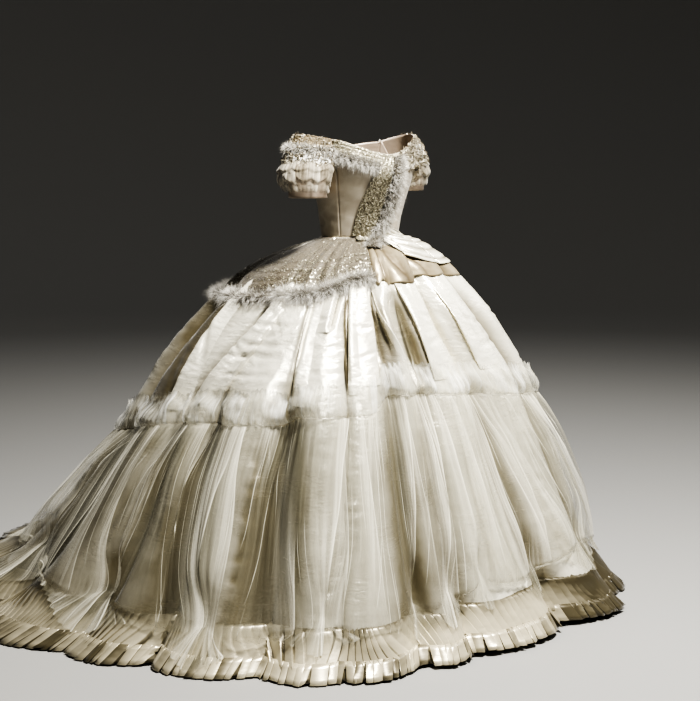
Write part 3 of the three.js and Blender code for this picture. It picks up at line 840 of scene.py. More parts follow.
def scrolls() -> NodeTree:
    """Masks for metal thread worked in small curling sprays on a net."""

    def fill(tree: Tree, at: Sockets) -> dict[str, Socket]:
        """Draws rings round scattered points, and small leaves between them."""
        place = tree.add("VectorMath", {0: at["Place"], "Scale": at["Count"]}, operation="SCALE").outputs[0]
        bent = tree.add("TexNoise", {"Vector": place, "Scale": 1.6, "Detail": 1.0}).outputs["Color"]
        shift = {0: bent, 1: (0.75, 0.75, 0.0), 2: place}
        warped = tree.add("VectorMath", shift, operation="MULTIPLY_ADD").outputs[0]
        cells = tree.add("TexVoronoi", {"Vector": warped, "Scale": 1.0}, feature="F1")
        rings = tree.calc("SINE", tree.calc("MULTIPLY", cells.outputs["Distance"], 21.0))
        edge = tree.add("TexVoronoi", {"Vector": warped, "Scale": 1.7}, feature="DISTANCE_TO_EDGE")
        stems = tree.between(edge.outputs["Distance"], 0.03, 0.1, (1.0, 0.0))
        thread = tree.calc("MAXIMUM", tree.between(rings, 0.35, 0.8), stems)
        glint = tree.between(tree.noise(place, 9.0, 1.0), 0.5, 0.72)
        return {"Thread": thread, "Glint": glint}

    return group("scrolls", {"Place": None, "Count": 60.0}, ["Thread", "Glint"], fill)


@dataclass(frozen=True)
class Finish:
    """A finish: its material slot, and the numbers that its shader holds."""

    name: str
    slot: str
    color: Color
    # The second colour: for satin, net and fur it is painted shade; for metalwork and spangles a second tone
    # of their own.
    shade: Color
    roughness: float = 0.4
    sheen: float = 0.0

    def material(self) -> bpy.types.Material:
        """The finish's material, built the first time it is asked for."""
        made = bpy.data.materials.get(self.name)
        if made:
            return made
        made = bpy.data.materials.new(self.name)
        made.use_nodes = True
        made.node_tree.nodes.clear()
        tree = Tree(made.node_tree)
        shader = tree.add("BsdfPrincipled")
        shader.inputs["Roughness"].default_value = self.roughness
        shader.inputs["Sheen Weight"].default_value = self.sheen
        shader.inputs["Sheen Roughness"].default_value = 0.4
        tree.add("OutputMaterial", {"Surface": shader.outputs[0]})
        self.shaded(tree, shader, tree.add("UVMap", uv_map="cloth").outputs[0])
        return made

    def shaded(self, tree: Tree, shader: Node, place: Socket) -> None:
        """Feeds the shader; each kind of finish does it in its own way.

        Args:
            tree: The material's tree.
            shader: Its Principled BSDF.
            place: The cloth's own coordinates.
        """
        raise NotImplementedError


@dataclass(frozen=True)
class Satin(Finish):
    """Silk satin: a soft shine broken by small creases."""

    creases: float = 30.0
    depth: float = 0.0011
    # How strongly the fold mask paints shade into the colour.
    painted_fold_shade: float = 0.55
    lustre: float = 0.35

    def shaded(self, tree: Tree, shader: Node, place: Socket) -> None:
        """Paints shade into the silk's folds, adds a slow tone, and gives it creases and a weave."""
        silk = tree.place(crushed_silk(), place, Creases=self.creases)
        weave = tree.place(threads(), place)
        # The fold attribute is painted shade for folds, hollows and shadows; past 1 it goes darker still.
        fold = tree.add("Attribute", attribute_name="fold").outputs["Fac"]
        worn = tree.calc("MULTIPLY", silk["Tone"], 0.16)
        share = tree.calc("MINIMUM", tree.calc("MULTIPLY_ADD", fold, self.painted_fold_shade, worn), 1.0)
        # A near-black copy of the shade colour, painted where the fold attribute runs past 1.
        dark = tuple(0.12 * part for part in self.shade[:3]) + (1.0,)
        shaded_and_toned = tree.blend(share, self.color, self.shade)
        tree.put(shader, "Base Color", tree.blend(tree.between(fold, 1.0, 2.0), shaded_and_toned, dark))
        rough = tree.between(silk["Height"], 0.0, 0.4, (self.roughness - 0.06, self.roughness + 0.1))
        tree.put(shader, "Roughness", rough)
        height = tree.calc("MULTIPLY_ADD", weave["Height"], 0.012, silk["Height"])
        calm = tree.calc("MULTIPLY_ADD", tree.calc("MINIMUM", fold, 1.0), -0.65, 1.0)
        tree.bump(shader, tree.calc("MULTIPLY", height, calm), self.depth)
        shader.inputs["Metallic"].default_value = self.lustre


@dataclass(frozen=True)
class Net(Finish):
    """Silk tulle: a fine net that shows as haze, and as lines where it is creased."""

    haze: float = 0.06
    laps: float = 0.24
    lines: float = 0.4

    def shaded(self, tree: Tree, shader: Node, place: Socket) -> None:
        """Sets how much of the net covers, from its gathers and its creases."""
        net = tree.place(streaks(), place)
        bunched = tree.add("Attribute", attribute_name="bunched").outputs["Fac"]
        mesh = tree.add("TexVoronoi", {"Vector": place, "Scale": 620.0}, feature="DISTANCE_TO_EDGE")
        holes = tree.between(mesh.outputs["Distance"], 0.05, 0.32, (0.5, -0.22))
        combed = tree.between(net["Fine"], 0.55, 1.0, (0.68, 1.18))
        cover = tree.calc("MULTIPLY", tree.calc("ADD", bunched, self.haze), combed)
        cover = tree.calc("MULTIPLY_ADD", net["Laps"], self.laps, cover)
        cover = tree.calc("MULTIPLY_ADD", net["Lines"], self.lines, cover)
        cover = tree.calc("MULTIPLY", cover, tree.calc("ADD", holes, 1.0))
        tree.put(shader, "Alpha", tree.calc("MINIMUM", tree.calc("MAXIMUM", cover, 0.03), 0.96))
        # Painted shade: the haze takes the dark shade colour; lines, laps and bunches the light one.
        light = tree.calc("MAXIMUM", net["Lines"], tree.calc("MAXIMUM", net["Laps"], bunched))
        light = tree.calc("MINIMUM", light, 1.0)
        tree.put(shader, "Base Color", tree.blend(light, self.shade, self.color))


@dataclass(frozen=True)
class Metalwork(Finish):
    """Metal thread on a ground of gauze or net."""

    count: float = 60.0
    ground: float = 0.8
    thread: Color = (0.3, 0.2, 0.08, 1.0)
    metal: float = 0.7
    sparse: float = 1.0

    def shaded(self, tree: Tree, shader: Node, place: Socket) -> None:
        """Lays the metal thread over the ground."""
        work = tree.place(scrolls(), place, Count=self.count)
        border = tree.add("Attribute", attribute_name="border").outputs["Fac"]
        glint = work["Glint"]
        worked = tree.calc("MULTIPLY", work["Thread"], self.sparse)
        dense = tree.calc("MULTIPLY", border, tree.calc("MULTIPLY_ADD", work["Thread"], 0.5, 0.5))
        thread = tree.calc("MINIMUM", tree.calc("ADD", worked, dense), 1.0)
        ground = tree.blend(glint, self.color, self.shade)
        metal = tree.blend(glint, self.thread, self.color)
        tree.put(shader, "Base Color", tree.blend(thread, ground, metal))
        tree.put(shader, "Metallic", tree.calc("MULTIPLY", thread, self.metal))
        cover = tree.between(thread, 0.0, 0.6, (self.ground, 1.0))
        tree.put(shader, "Alpha", cover)
        tree.bump(shader, tree.calc("ADD", thread, tree.calc("MULTIPLY", glint, 0.5)), 0.0008)


@dataclass(frozen=True)
class Spangle(Finish):
    """Sequins and metal loops: each has its own tone."""

    metal: float = 0.8

    def shaded(self, tree: Tree, shader: Node, place: Socket) -> None:
        """Gives each piece of metal one of a range of tones."""
        own = tree.add("SeparateXYZ", {0: place}).outputs["X"]
        grain = tree.noise(tree.add("TexCoord").outputs["Object"], 900.0, 1.0)
        share = tree.calc("MULTIPLY_ADD", tree.calc("SUBTRACT", grain, 0.5), 0.4, own)
        tree.put(shader, "Base Color", tree.blend(share, self.color, self.shade))
        tree.put(shader, "Roughness", tree.between(grain, 0.3, 0.7, (0.2, 0.45)))
        shader.inputs["Metallic"].default_value = self.metal


@dataclass(frozen=True)
class Fur(Finish):
    """Soft white fur: hairs with painted shade towards their roots."""

    def shaded(self, tree: Tree, shader: Node, place: Socket) -> None:
        """Paints shade on each hair from root to tip, and lets the tips fade."""
        parts = tree.add("SeparateXYZ", {0: place})
        own = tree.calc("MULTIPLY_ADD", parts.outputs["X"], 0.35, -0.1)
        tip = tree.between(parts.outputs["Y"], 0.0, 0.5)
        share = tree.calc("MINIMUM", tree.calc("MAXIMUM", tree.calc("SUBTRACT", tip, own), 0.0), 1.0)
        tree.put(shader, "Base Color", tree.blend(share, self.shade, self.color))
        tree.put(shader, "Alpha", tree.between(parts.outputs["Y"], 0.5, 1.1, (1.0, 0.25)))


@dataclass(frozen=True)
class Down(Finish):
    """The close underfur below the hairs, in dark colours that paint the shade beneath them."""

    def shaded(self, tree: Tree, shader: Node, place: Socket) -> None:
        """Breaks the underfur into soft tufts."""
        at = tree.add("TexCoord").outputs["Object"]
        tufts = tree.noise(at, 160.0, 4.0, 0.7)
        tree.put(shader, "Base Color", tree.blend(tree.between(tufts, 0.3, 0.6), self.shade, self.color))
        tree.put(shader, "Roughness", tree.between(tufts, 0.2, 0.8, (0.85, 1.0)))
        tree.bump(shader, tufts, 0.004)


IVORY = linear(243, 238, 219)
# The satin's painted shade colour: for its folds, its painted shadows and under the veil.
PAINTED_OLIVE_SHADE = linear(106, 97, 74)
SATIN = Satin(
    "ivory_satin", "satin", IVORY, PAINTED_OLIVE_SHADE,
    roughness=0.30, sheen=0.1, creases=30.0, depth=0.0046, painted_fold_shade=0.9, lustre=0.34,
)
BODICE_SATIN = Satin(
    "bodice_satin", "satin", linear(182, 173, 155), linear(140, 128, 110),
    roughness=0.42, sheen=0.1, creases=46.0, depth=0.0006, painted_fold_shade=0.8, lustre=0.25,
)
# A darker copy of the bodice satin: painted shade inside the bodice and on the sleeve tubes.
SHADED_SATIN = Satin(
    "shaded_satin", "satin", linear(140, 126, 110), linear(84, 70, 54),
    roughness=0.45, sheen=0.1, creases=46.0, depth=0.0006, painted_fold_shade=0.8, lustre=0.2,
)
# A darker copy of the ivory satin: painted shade over the hip drape.
DRAPE_SATIN = Satin(
    "drape_satin", "satin", linear(164, 152, 125), linear(84, 72, 50),
    roughness=0.44, sheen=0.1, creases=46.0, depth=0.0006, painted_fold_shade=0.9, lustre=0.42,
)
# A darker copy of the ivory satin: painted shade over the flounce and frill.
HEM_SATIN = Satin(
    "hem_satin", "flounce_satin", linear(222, 212, 182), linear(84, 77, 58),
    roughness=0.36, sheen=0.1, creases=40.0, depth=0.0006, painted_fold_shade=0.9, lustre=0.36,
)
# The nets' shade colours are painted shade on their haze.
VEIL = Net(
    "veil_tulle", "tulle", linear(222, 217, 198), linear(134, 130, 110),
    roughness=0.9, sheen=0.1, haze=0.19, laps=0.13, lines=0.34,
)
HEADING_NET = Net(
    "heading_tulle", "tulle", linear(242, 241, 232), linear(190, 187, 171),
    roughness=0.9, sheen=0.2, haze=0.34, laps=0.10, lines=0.14,
)
# A darker copy of the white tulle: painted shade over the sleeve puffs.
PUFF_NET = Net(
    "puff_tulle", "tulle", linear(176, 169, 153), linear(128, 119, 101),
    roughness=0.9, sheen=0.2, haze=0.50, laps=0.10, lines=0.16,
)
GAUZE = Metalwork(
    "gold_gauze", "gauze", linear(102, 94, 77), linear(62, 55, 41),
    roughness=0.55, sheen=0.2, count=60.0, ground=0.97, thread=linear(52, 43, 28), metal=0.2, sparse=0.42,
)
GALLOON = Metalwork(
    "gold_galloon", "gauze", linear(160, 146, 116), linear(100, 87, 64),
    roughness=0.42, sheen=0.0, count=90.0, ground=1.0, thread=linear(62, 51, 34), metal=0.4,
)
SEQUIN_GROUND = Metalwork(
    "sequin_ground", "sequins", linear(134, 126, 104), linear(88, 81, 64),
    roughness=0.5, sheen=0.0, count=130.0, ground=1.0, thread=linear(76, 68, 52), metal=0.3,
)
SILVER_LACE = Metalwork(
    "silver_lace", "silver_lace", linear(158, 151, 134), linear(112, 103, 86),
    roughness=0.5, sheen=0.0, count=75.0, ground=0.85, thread=linear(84, 74, 57), metal=0.4,
)
GOLD_SEQUINS = Spangle(
    "gold_sequins", "sequins", linear(196, 190, 166), linear(80, 73, 56),
    roughness=0.4, sheen=0.0, metal=0.45,
)
SILVER_LOOPS = Spangle(
    "silver_loops", "silver_lace", linear(186, 179, 160), linear(92, 82, 64),
    roughness=0.4, sheen=0.0, metal=0.5,
)
# The fur's shade colour is painted shade at the roots; the underfur's dark colours paint shade under the
# hairs.
FUR = Fur("white_fur", "fur", linear(212, 208, 198), linear(84, 78, 66), roughness=0.8, sheen=0.3)
UNDERFUR = Down("underfur", "fur", linear(124, 118, 105), linear(62, 56, 45), roughness=0.95, sheen=0.2)


# ---------- The satin skirt ----------
@dataclass(frozen=True)
class Crease:
    """A crease pressed into the satin between two places, each an angle and a drop."""

    start: tuple[float, float]
    end: tuple[float, float]
    width: float
    depth: float
    bow: float = 0.0

    def relief(self, angle: Array, drop: Array, reach: Array) -> Array:
        """How far the cloth is raised by this crease.

        Args:
            angle: Angles of the places asked for.
            drop: Their drops.
            reach: Their distances from the axis.

        Returns:
            Heights in metres; a trough is below zero.
        """
        middle = (self.start[0] + self.end[0]) / 2
        x = np.radians(wrapped(angle - middle)) * reach
        y = drop * SLOPE
        x0 = np.radians(self.start[0] - middle) * reach
        x1 = np.radians(self.end[0] - middle) * reach
        y0, y1 = self.start[1] * SLOPE, self.end[1] * SLOPE
        dx, dy = x1 - x0, y1 - y0
        length = np.sqrt(dx * dx + dy * dy)
        raw = ((x - x0) * dx + (y - y0) * dy) / (length * length)
        s = np.clip(raw, 0, 1)
        bow = self.bow * 4 * s * (1 - s)
        side = ((x - x0) * dy - (y - y0) * dx) / length - bow
        past = (raw - s) * length
        away = np.sqrt(side * side + past * past) / self.width
        taper = np.sqrt(np.sin(np.pi * (0.04 + 0.92 * s)))
        shoulder = 0.3 * np.exp(-((away - 2.0) ** 2))
        return self.depth * taper * (shoulder - np.exp(-away * away))


CREASES = tuple(Crease(*row) for row in (
    ((-121, 0.06), (-121, 0.52), 0.014, 0.014), ((-128, 0.10), (-131, 0.50), 0.012, -0.006, 0.01),
    ((-78, 0.14), (-97, 0.38), 0.007, 0.010, -0.012), ((-73, 0.16), (-89, 0.41), 0.006, 0.006, -0.010),
    ((-60, 0.13), (-61, 0.43), 0.006, 0.008), ((-48.5, 0.11), (-50, 0.225), 0.006, 0.014),
    ((-44.5, 0.11), (-41.5, 0.36), 0.0045, 0.009), ((-33, 0.13), (-30, 0.36), 0.006, 0.008, 0.006),
    ((-26.5, 0.19), (-20.5, 0.33), 0.010, -0.010, 0.006),
    ((-29, 0.15), (-24, 0.30), 0.005, 0.008, 0.004), ((-18, 0.16), (-11.5, 0.37), 0.019, 0.026),
    ((9, 0.14), (17, 0.34), 0.008, 0.008), ((20, 0.18), (25, 0.32), 0.009, -0.007),
    ((-118, 0.09), (-122, 0.52), 0.034, 0.030), ((-80, 0.18), (-70, 0.245), 0.005, 0.0035, 0.004),
    ((-76, 0.26), (-64, 0.20), 0.005, 0.0035, -0.004), ((-90, 0.27), (-78, 0.33), 0.006, 0.004, 0.004),
    ((-104, 0.22), (-98, 0.36), 0.006, 0.004, 0.006),
    ((-112, 0.26), (-104, 0.44), 0.007, 0.004, -0.006), ((36, 0.16), (40, 0.40), 0.012, 0.004, 0.01),
    ((-86, 0.235), (-66, 0.222), 0.006, 0.0035, 0.004),
    ((-84, 0.275), (-64, 0.262), 0.007, 0.0035, -0.006),
    ((-90, 0.315), (-68, 0.300), 0.007, 0.004, 0.006),
    ((-88, 0.352), (-70, 0.345), 0.006, 0.0035, -0.004), ((-58, 0.20), (-51, 0.205), 0.006, 0.003),
    ((-57, 0.28), (-44, 0.272), 0.006, 0.0035, 0.004),
    ((-56, 0.33), (-43, 0.335), 0.006, 0.003, -0.004), ((-40, 0.22), (-34, 0.23), 0.006, 0.003),
    ((-39, 0.30), (-33, 0.29), 0.006, 0.003), ((-3, 0.20), (6, 0.21), 0.007, 0.003),
    ((-4, 0.28), (8, 0.265), 0.008, 0.0035, 0.004), ((28, 0.22), (44, 0.235), 0.008, 0.0035, -0.006),
    ((30, 0.30), (48, 0.29), 0.008, 0.0035, 0.006), ((-68, 0.55), (-56, 0.90), 0.016, 0.007, 0.02),
    ((-90, 0.52), (-86, 0.90), 0.010, 0.006), ((-26, 0.45), (-23, 0.90), 0.012, 0.010),
    ((21, 0.44), (30, 0.90), 0.012, 0.010), ((-103, 0.50), (-106, 0.86), 0.014, 0.007, 0.02),
    ((34, 0.50), (37, 0.84), 0.012, 0.004, -0.01),
))  # start and end, each an angle and a drop; half width; depth; bow to one side


@dataclass(frozen=True)
class Band:
    """A band that runs down the satin: its path of angles and drops, half width and strength."""

    path: Pairs
    width: float
    amount: float

    def mask(self, angle: Array, drop: Array) -> Array:
        """How strong the band is at each place."""
        line = Curve(*[(down, turn) for turn, down in self.path])(drop)
        away = np.radians(wrapped(angle - line)) * FORM.reach(angle, drop)
        first, last = self.path[0][1], self.path[-1][1]
        level = smooth(drop, first - 0.04, first + 0.03) * smooth(last + 0.04 - drop, 0.0, 0.07)
        return self.amount * level * np.exp(-((away / self.width) ** 4))


# Painted shadows on the satin: each band's path, half width and strength.
SHADOWS = (
    Band(((-115.5, 0.04), (-116, 0.30), (-116.5, 0.56)), 0.128, 1.16),
    Band(((-108.5, 0.10), (-108.5, 0.30), (-107.5, 0.46)), 0.036, 1.38),
    Band(((-79.4, 0.12), (-84.2, 0.22), (-91.2, 0.32), (-96.8, 0.43)), 0.014, 1.7),
    Band(((-73.5, 0.17), (-79, 0.28), (-88, 0.40)), 0.009, 0.35),
    Band(((-98, 0.36), (-97, 0.43)), 0.060, 0.35),
    Band(((-78, 0.39), (-76, 0.43)), 0.080, 0.35),
    Band(((-62, 0.12), (-62.3, 0.25), (-62, 0.42)), 0.008, 0.7),
    Band(((-49, 0.10), (-50.2, 0.17), (-51.5, 0.23)), 0.009, 1.3),
    Band(((-45.8, 0.10), (-44, 0.22), (-42.2, 0.38)), 0.008, 1.4),
    Band(((-29, 0.17), (-26.8, 0.24), (-25.6, 0.31), (-24.6, 0.39)), 0.034, 0.90),
    Band(((-15, 0.15), (-12.6, 0.20), (-10.9, 0.26), (-9.0, 0.32), (-7.8, 0.38)), 0.019, 0.88),
    Band(((24, 0.17), (25, 0.24), (24, 0.30), (23, 0.37)), 0.030, 0.26),
    Band(((-112, 0.46), (-113, 0.52), (-116, 0.62)), 0.060, 0.5),
)  # where the silk takes its shade
FILLED = (
    Band(((-28.5, 0.16), (-26.8, 0.24), (-25.2, 0.31), (-24.6, 0.39)), 0.020, 0.010),
    Band(((-15, 0.16), (-12.4, 0.22), (-10.2, 0.28), (-8.4, 0.36)), 0.014, 0.005),
)  # where folds are filled, in metres
# Painted shade on the satin under the veil, by angle.
UNDER_VEIL = (
    (-180, 0.55), (-150, 0.50), (-137, 0.62), (-131, 0.55), (-126, 1.10), (-120, 1.55), (-113, 1.35),
    (-106, 0.80), (-100, 0.66), (-96, 0.82), (-90, 0.92), (-84, 1.08), (-78, 0.76), (-72, 0.42),
    (-67, 0.82), (-60, 0.95), (-53, 0.72), (-49, 0.40), (-44, 0.20), (-38, 0.24), (-31, 0.46),
    (-26, 0.52), (-20, 0.54), (-15, 0.56), (-11, 0.40), (-6, 0.04), (4, 0.0), (18, 0.0), (26, 0.04),
    (34, 0.04), (46, 0.16), (56, 0.30), (68, 0.42), (80, 0.34), (96, 0.50), (110, 0.36), (124, 0.52),
    (138, 0.38), (152, 0.52), (166, 0.42), (180, 0.55),
)  # angle, how far the satin under the veil takes its shade
SEAMS = (
    ((-43, 0.45), (-41, 0.70), (-47, 0.94)), ((-68, 0.46), (-68, 0.94)), ((-130, 0.20), (-130, 0.94)),
    ((-10, 0.42), (-10, 0.94)), ((37, 0.45), (38, 0.94)), ((90, 0.25), (92, 0.94)),
    ((122, 0.20), (124, 0.94)), ((150, 0.20), (150, 0.94)), ((-160, 0.20), (-160, 0.94)),
    ((177, 0.20), (177, 0.94)),
)  # each seam's angles and drops


@dataclass(frozen=True)
class Lap:
    """A pleat whose edge lies over the satin beside it.

    The path is the angle and drop of its edge; side is 1 if the pleat lies on the wearer's left of
    its edge, and -1 if on the right. Tucked is how much painted shade lies under its tucked edge.
    The profile is its section: shares of its width and height.
    """

    path: Pairs
    width: float
    height: float
    side: int
    tucked: float = 1.0
    step: float = 0.006
    profile: Pairs = (
        (0.14, -0.02), (0.05, 0.18), (0.0, 0.45), (-0.01, 0.72), (0.01, 0.93), (0.05, 1.0),
        (0.11, 0.98), (0.19, 0.88), (0.29, 0.72), (0.40, 0.55), (0.52, 0.38), (0.66, 0.22),
        (0.82, 0.09), (1.0, -0.02),
    )

    def grid(self, skirt: "SatinSkirt") -> Array:
        """The pleat's points, over the satin that it is part of; rows down, columns to the left."""
        drops = [drop for _, drop in self.path]
        edge = Curve(*[(drop, angle) for angle, drop in self.path])
        rows = math.ceil((drops[-1] - drops[0]) * SLOPE / self.step) + 1
        out, high = np.array(self.profile[:: self.side]).T
        points = []
        for share in np.linspace(0, 1, rows):
            drop = mix(drops[0], drops[-1], share)
            angle = edge(drop)
            away = self.side * out * self.width * (0.6 + 0.4 * share)
            place = FORM.across_at(angle + np.degrees(away / FORM.reach(angle, drop)), drop)
            taper = math.sqrt(math.sin(math.pi * (0.03 + 0.95 * share)))
            lift = self.height * taper * high + np.where(high > 0, 0.0004, -0.0006)
            points.append(skirt.surface(place, np.full_like(place, drop), lift))
        return np.stack(points)


LAPS = (
    Lap(((-61, 0.10), (-61.5, 0.25), (-61, 0.42)), 0.055, 0.012, 1),
    Lap(((-48, 0.09), (-49, 0.16), (-50.5, 0.235)), 0.040, 0.012, -1),
    Lap(((-45, 0.09), (-43.2, 0.22), (-41.5, 0.39)), 0.045, 0.009, 1),
    Lap(((-35, 0.10), (-33.5, 0.20), (-30.5, 0.37)), 0.060, 0.012, -1),
    Lap(((-31, 0.11), (-26, 0.20), (-21.5, 0.28), (-17, 0.35)), 0.010, 0.008, -1, 0.5),
    Lap(((-13, 0.12), (-8.5, 0.24), (-5, 0.37)), 0.060, 0.014, 1, 0.6),
    Lap(((19, 0.14), (22, 0.24), (26, 0.36)), 0.055, 0.007, 1, 0.2),
    Lap(((-76.5, 0.12), (-81.5, 0.22), (-88.5, 0.32), (-94, 0.43)), 0.070, 0.019, 1),
    Lap(((-103, 0.12), (-102.5, 0.28), (-104, 0.46)), 0.060, 0.018, 1),
)


@dataclass
class SatinSkirt:
    """Nine gores of ivory satin in broad pipes, with deep folds between them.

    The calm, pale and lit places each have an angle and a half width in degrees: in the first the
    silk is not crushed, and in the others its folds take less painted shade.
    """

    across_step: float = 0.0097
    back_step: float = 0.0140
    down_step: float = 0.0079
    hidden_rows: int = 6
    wall: float = 0.0008
    crush: float = 0.0024
    lumps: float = 0.0030
    own_creases: int = 64
    shallow_fold: int = 4
    line_angle: float = -60.0
    calm: tuple[float, float] = (-20, 8)
    pale: tuple[float, float] = (-20, 11)
    lit: tuple[float, float] = (16, 9)
    gores: tuple[tuple[str, int, int], ...] = (
        ("back_right", 0, 2), ("side_back_right", 2, 4), ("side_right", 4, 6), ("front_right", 6, 8),
        ("front", 8, 10), ("front_left", 10, 12), ("side_left", 12, 14), ("side_back_left", 14, 16),
        ("back", 16, 17),
    )

    def __post_init__(self) -> None:
        """Draws the noise, and creases like the placed ones for the sides that have none."""
        self.fine = Crumple(11)
        self.broad = Crumple(12)
        self.seam_noise = Crumple(13)
        self.drops = np.linspace(0, FORM.hem_drop, 800)
        reach = FORM.reach(self.line_angle, self.drops)
        self.down = travelled(FORM.placed(self.line_angle, self.drops, reach))
        rng = np.random.default_rng(14)
        self.creases = list(CREASES)
        for _ in range(self.own_creases):
            angle = rng.uniform(58, 224)
            drop = rng.uniform(0.12, 0.80)
            steep = rng.random() < 0.45
            if steep:
                end = (angle + rng.uniform(-5, 6), min(drop + rng.uniform(0.12, 0.30), 0.94))
            else:
                end = (angle + rng.uniform(6, 15), drop + rng.uniform(-0.02, 0.02))
            width = rng.uniform(0.005, 0.010)
            depth = rng.uniform(0.003, 0.007) if steep else rng.uniform(0.0025, 0.004)
            self.creases.append(Crease((angle, drop), end, width, depth, rng.uniform(-0.012, 0.012)))

    def puckers(self, angle: Array, drop: Array, reach: Array) -> Array:
        """Small ridges across each seam, and the seam's own groove."""
        total = np.zeros_like(angle)
        for number, seam in enumerate(SEAMS):
            line = np.interp(drop, [p[1] for p in seam], [p[0] for p in seam])
            away = np.radians(wrapped(angle - line)) * reach
            there = smooth(drop, seam[0][1] - 0.03, seam[0][1] + 0.05)
            wave = self.seam_noise.layered(drop / 0.017 + 31 * number, away / 0.05, 2)
            total += there * (0.0036 * wave * np.exp(-np.abs(away) / 0.022) - 0.003 * bell(away, 0.006))
        return total

    def crushed(self, angle: Array, drop: Array, wide: Array, down: Array) -> Array:
        """The silk's slow lumps and small crushed ridges, which start below the waist."""
        ridges = self.fine.ridged(wide / 0.075 + 0.4 * self.broad(wide / 0.2, down / 0.2), down / 0.036, 2)
        amount = 0.55 + 0.75 * smooth(self.broad(wide / 0.3 + 9, down / 0.24), -0.3, 0.6)
        calm = bell(wrapped(angle - self.calm[0]), self.calm[1]) * smooth(0.42 - drop, 0.0, 0.08)
        amount = amount * (1 - 0.85 * calm)
        lumps = self.lumps * self.broad.layered(wide / 0.13, down / 0.15, 2)
        return (lumps + self.crush * amount * (ridges - 0.6)) * smooth(drop, 0.01, 0.12)

    def relief(self, across: Array, drop: Array, down: Array) -> Array:
        """How far the cloth is raised off its pipes.

        Args:
            across: Places across the skirt.
            drop: Depths below the waist.
            down: Distances down the cloth.

        Returns:
            Heights in metres.
        """
        angle = FORM.angle(across, drop)
        reach = FORM.reach(angle, drop)
        total = self.crushed(angle, drop, across * PIPE, down)
        for crease in self.creases:
            total += crease.relief(angle, drop, reach)
        total += self.puckers(angle, drop, reach)
        for band in FILLED:
            total += band.mask(angle, drop)
        level = smooth(drop, 0.08, 0.16) * smooth(0.44 - drop, 0.0, 0.06)
        fold = FORM.folds.angle(self.shallow_fold, drop)
        total += 0.010 * level * bell(np.radians(wrapped(angle - fold)) * reach, 0.022)
        pleats = np.cos(2 * np.pi * across * 4 + 1.5 * self.fine(across * 2, drop * 3))
        total += 0.0035 * pleats * smooth(drop, 0.0, 0.03) * bell(drop, 0.11)
        return total

    def surface(self, across: Array, drop: Array, lift: Array = 0.0) -> Array:
        """Points of the creased satin, or of a layer that stands off it by lift."""
        down = np.interp(drop, self.drops, self.down)
        return FORM.over(across, drop, self.relief(across, drop, down) + lift)

    def shading(self, across: Array, drop: Array, sunk: Array) -> Array:
        """How far the silk takes painted shade: in folds, in painted shadows and under the veil.

        Args:
            across: Places across the skirt.
            drop: Depths below the waist.
            sunk: How far each point lies inside the pipes.

        Returns:
            Shares up to 1, and past 1 where the painted shade is darker still.
        """
        angle = FORM.angle(across, drop)
        # Painted shade in the folds, by how deep they lie and how far the creases sink the cloth.
        fold = smooth(FORM.depth(across, drop) + 1.6 * np.clip(sunk - 0.001, 0, 0.02), 0.004, 0.05)
        high = smooth(0.44 - drop, 0.0, 0.06)
        fold = fold * (1 - 0.55 * bell(wrapped(angle - self.pale[0]), self.pale[1]) * high)
        fold = fold * (1 - bell(wrapped(angle - self.lit[0]), self.lit[1]) * mix(0.62, 0.75, high))
        for shadow in SHADOWS:
            fold = np.maximum(fold, shadow.mask(angle, drop))
        # Painted shade on the satin under the veil, set by angle.
        veiled = np.interp(wrapped(angle), *zip(*UNDER_VEIL)) * smooth(drop, 0.43, 0.56)
        return np.minimum(np.maximum(fold, 0.6 * fold + veiled), 2.0)

    def grid(self, start: int, end: int) -> tuple[Array, Array]:
        """The points of a gore, and its painted shade.

        Args:
            start: The fold that it starts at.
            end: The fold that it ends at.

        Returns:
            Points, and shares of painted shade.
        """
        hidden = np.interp(FORM.flounce_top + 0.02, self.drops, self.down)
        rows = [np.arange(0, hidden, self.down_step), np.linspace(hidden, self.down[-1], self.hidden_rows)]
        places = np.linspace(start, end, 300)
        lengths = travelled(FORM.point(places, 0.75))
        step = self.across_step if 4 <= start < 12 else self.back_step
        across = np.linspace(0, lengths[-1], math.ceil(lengths[-1] / step) + 1)
        drop = np.interp(np.concatenate(rows), self.down, self.drops)
        across, drop = np.meshgrid(np.interp(across, lengths, places), drop)
        points = self.surface(across, drop)
        points[..., 2] = np.maximum(points[..., 2], LOWEST)
        sunk = ((FORM.point(across, drop) - points) * FORM.normal(across, drop)).sum(axis=-1)
        return points, self.shading(across, drop, sunk)

    def build(self) -> None:
        """Builds each gore, and the pleats laid over its neighbours."""
        for name, start, end in self.gores:
            points, fold = self.grid(start, end)
            lay(f"satin_{name}", points, SATIN, Held.HUNG, (f"skirt_{name}",), wall=self.wall, fold=fold)
        for number, lap in enumerate(LAPS, 1):
            points = lap.grid(self)
            # Painted shade under the pleat's tucked edge.
            under = np.zeros(points.shape[1])
            under[:4] = (1.0, 1.0, 0.7, 0.2)
            fold = np.broadcast_to(lap.tucked * under[:: lap.side], points.shape[:2])
            lay(f"satin_pleat_{number}", points, SATIN, Held.HUNG, on=ON_FRONT, fold=fold)


# ---------- The tulle over the skirt ----------
@dataclass(frozen=True)
class Catch:
    """A place where the tulle is drawn in and caught down."""

    angle: float
    drop: float
    width: float
    pull: float = 0.78


CATCHES = tuple(Catch(*row) for row in (
    (-125, 0.880, 13), (-97, 0.925, 11), (-71, 0.962, 11), (-46, 0.930, 10), (-24, 0.925, 7),
    (-13, 0.902, 6), (0, 0.880, 6), (22, 0.890, 8), (45, 0.855, 11), (70, 0.880, 11), (93, 0.895, 10),
    (116, 0.890, 11), (139, 0.895, 11), (160, 0.900, 10), (183, 0.905, 11), (-154, 0.900, 11),
))  # angle, drop, half width


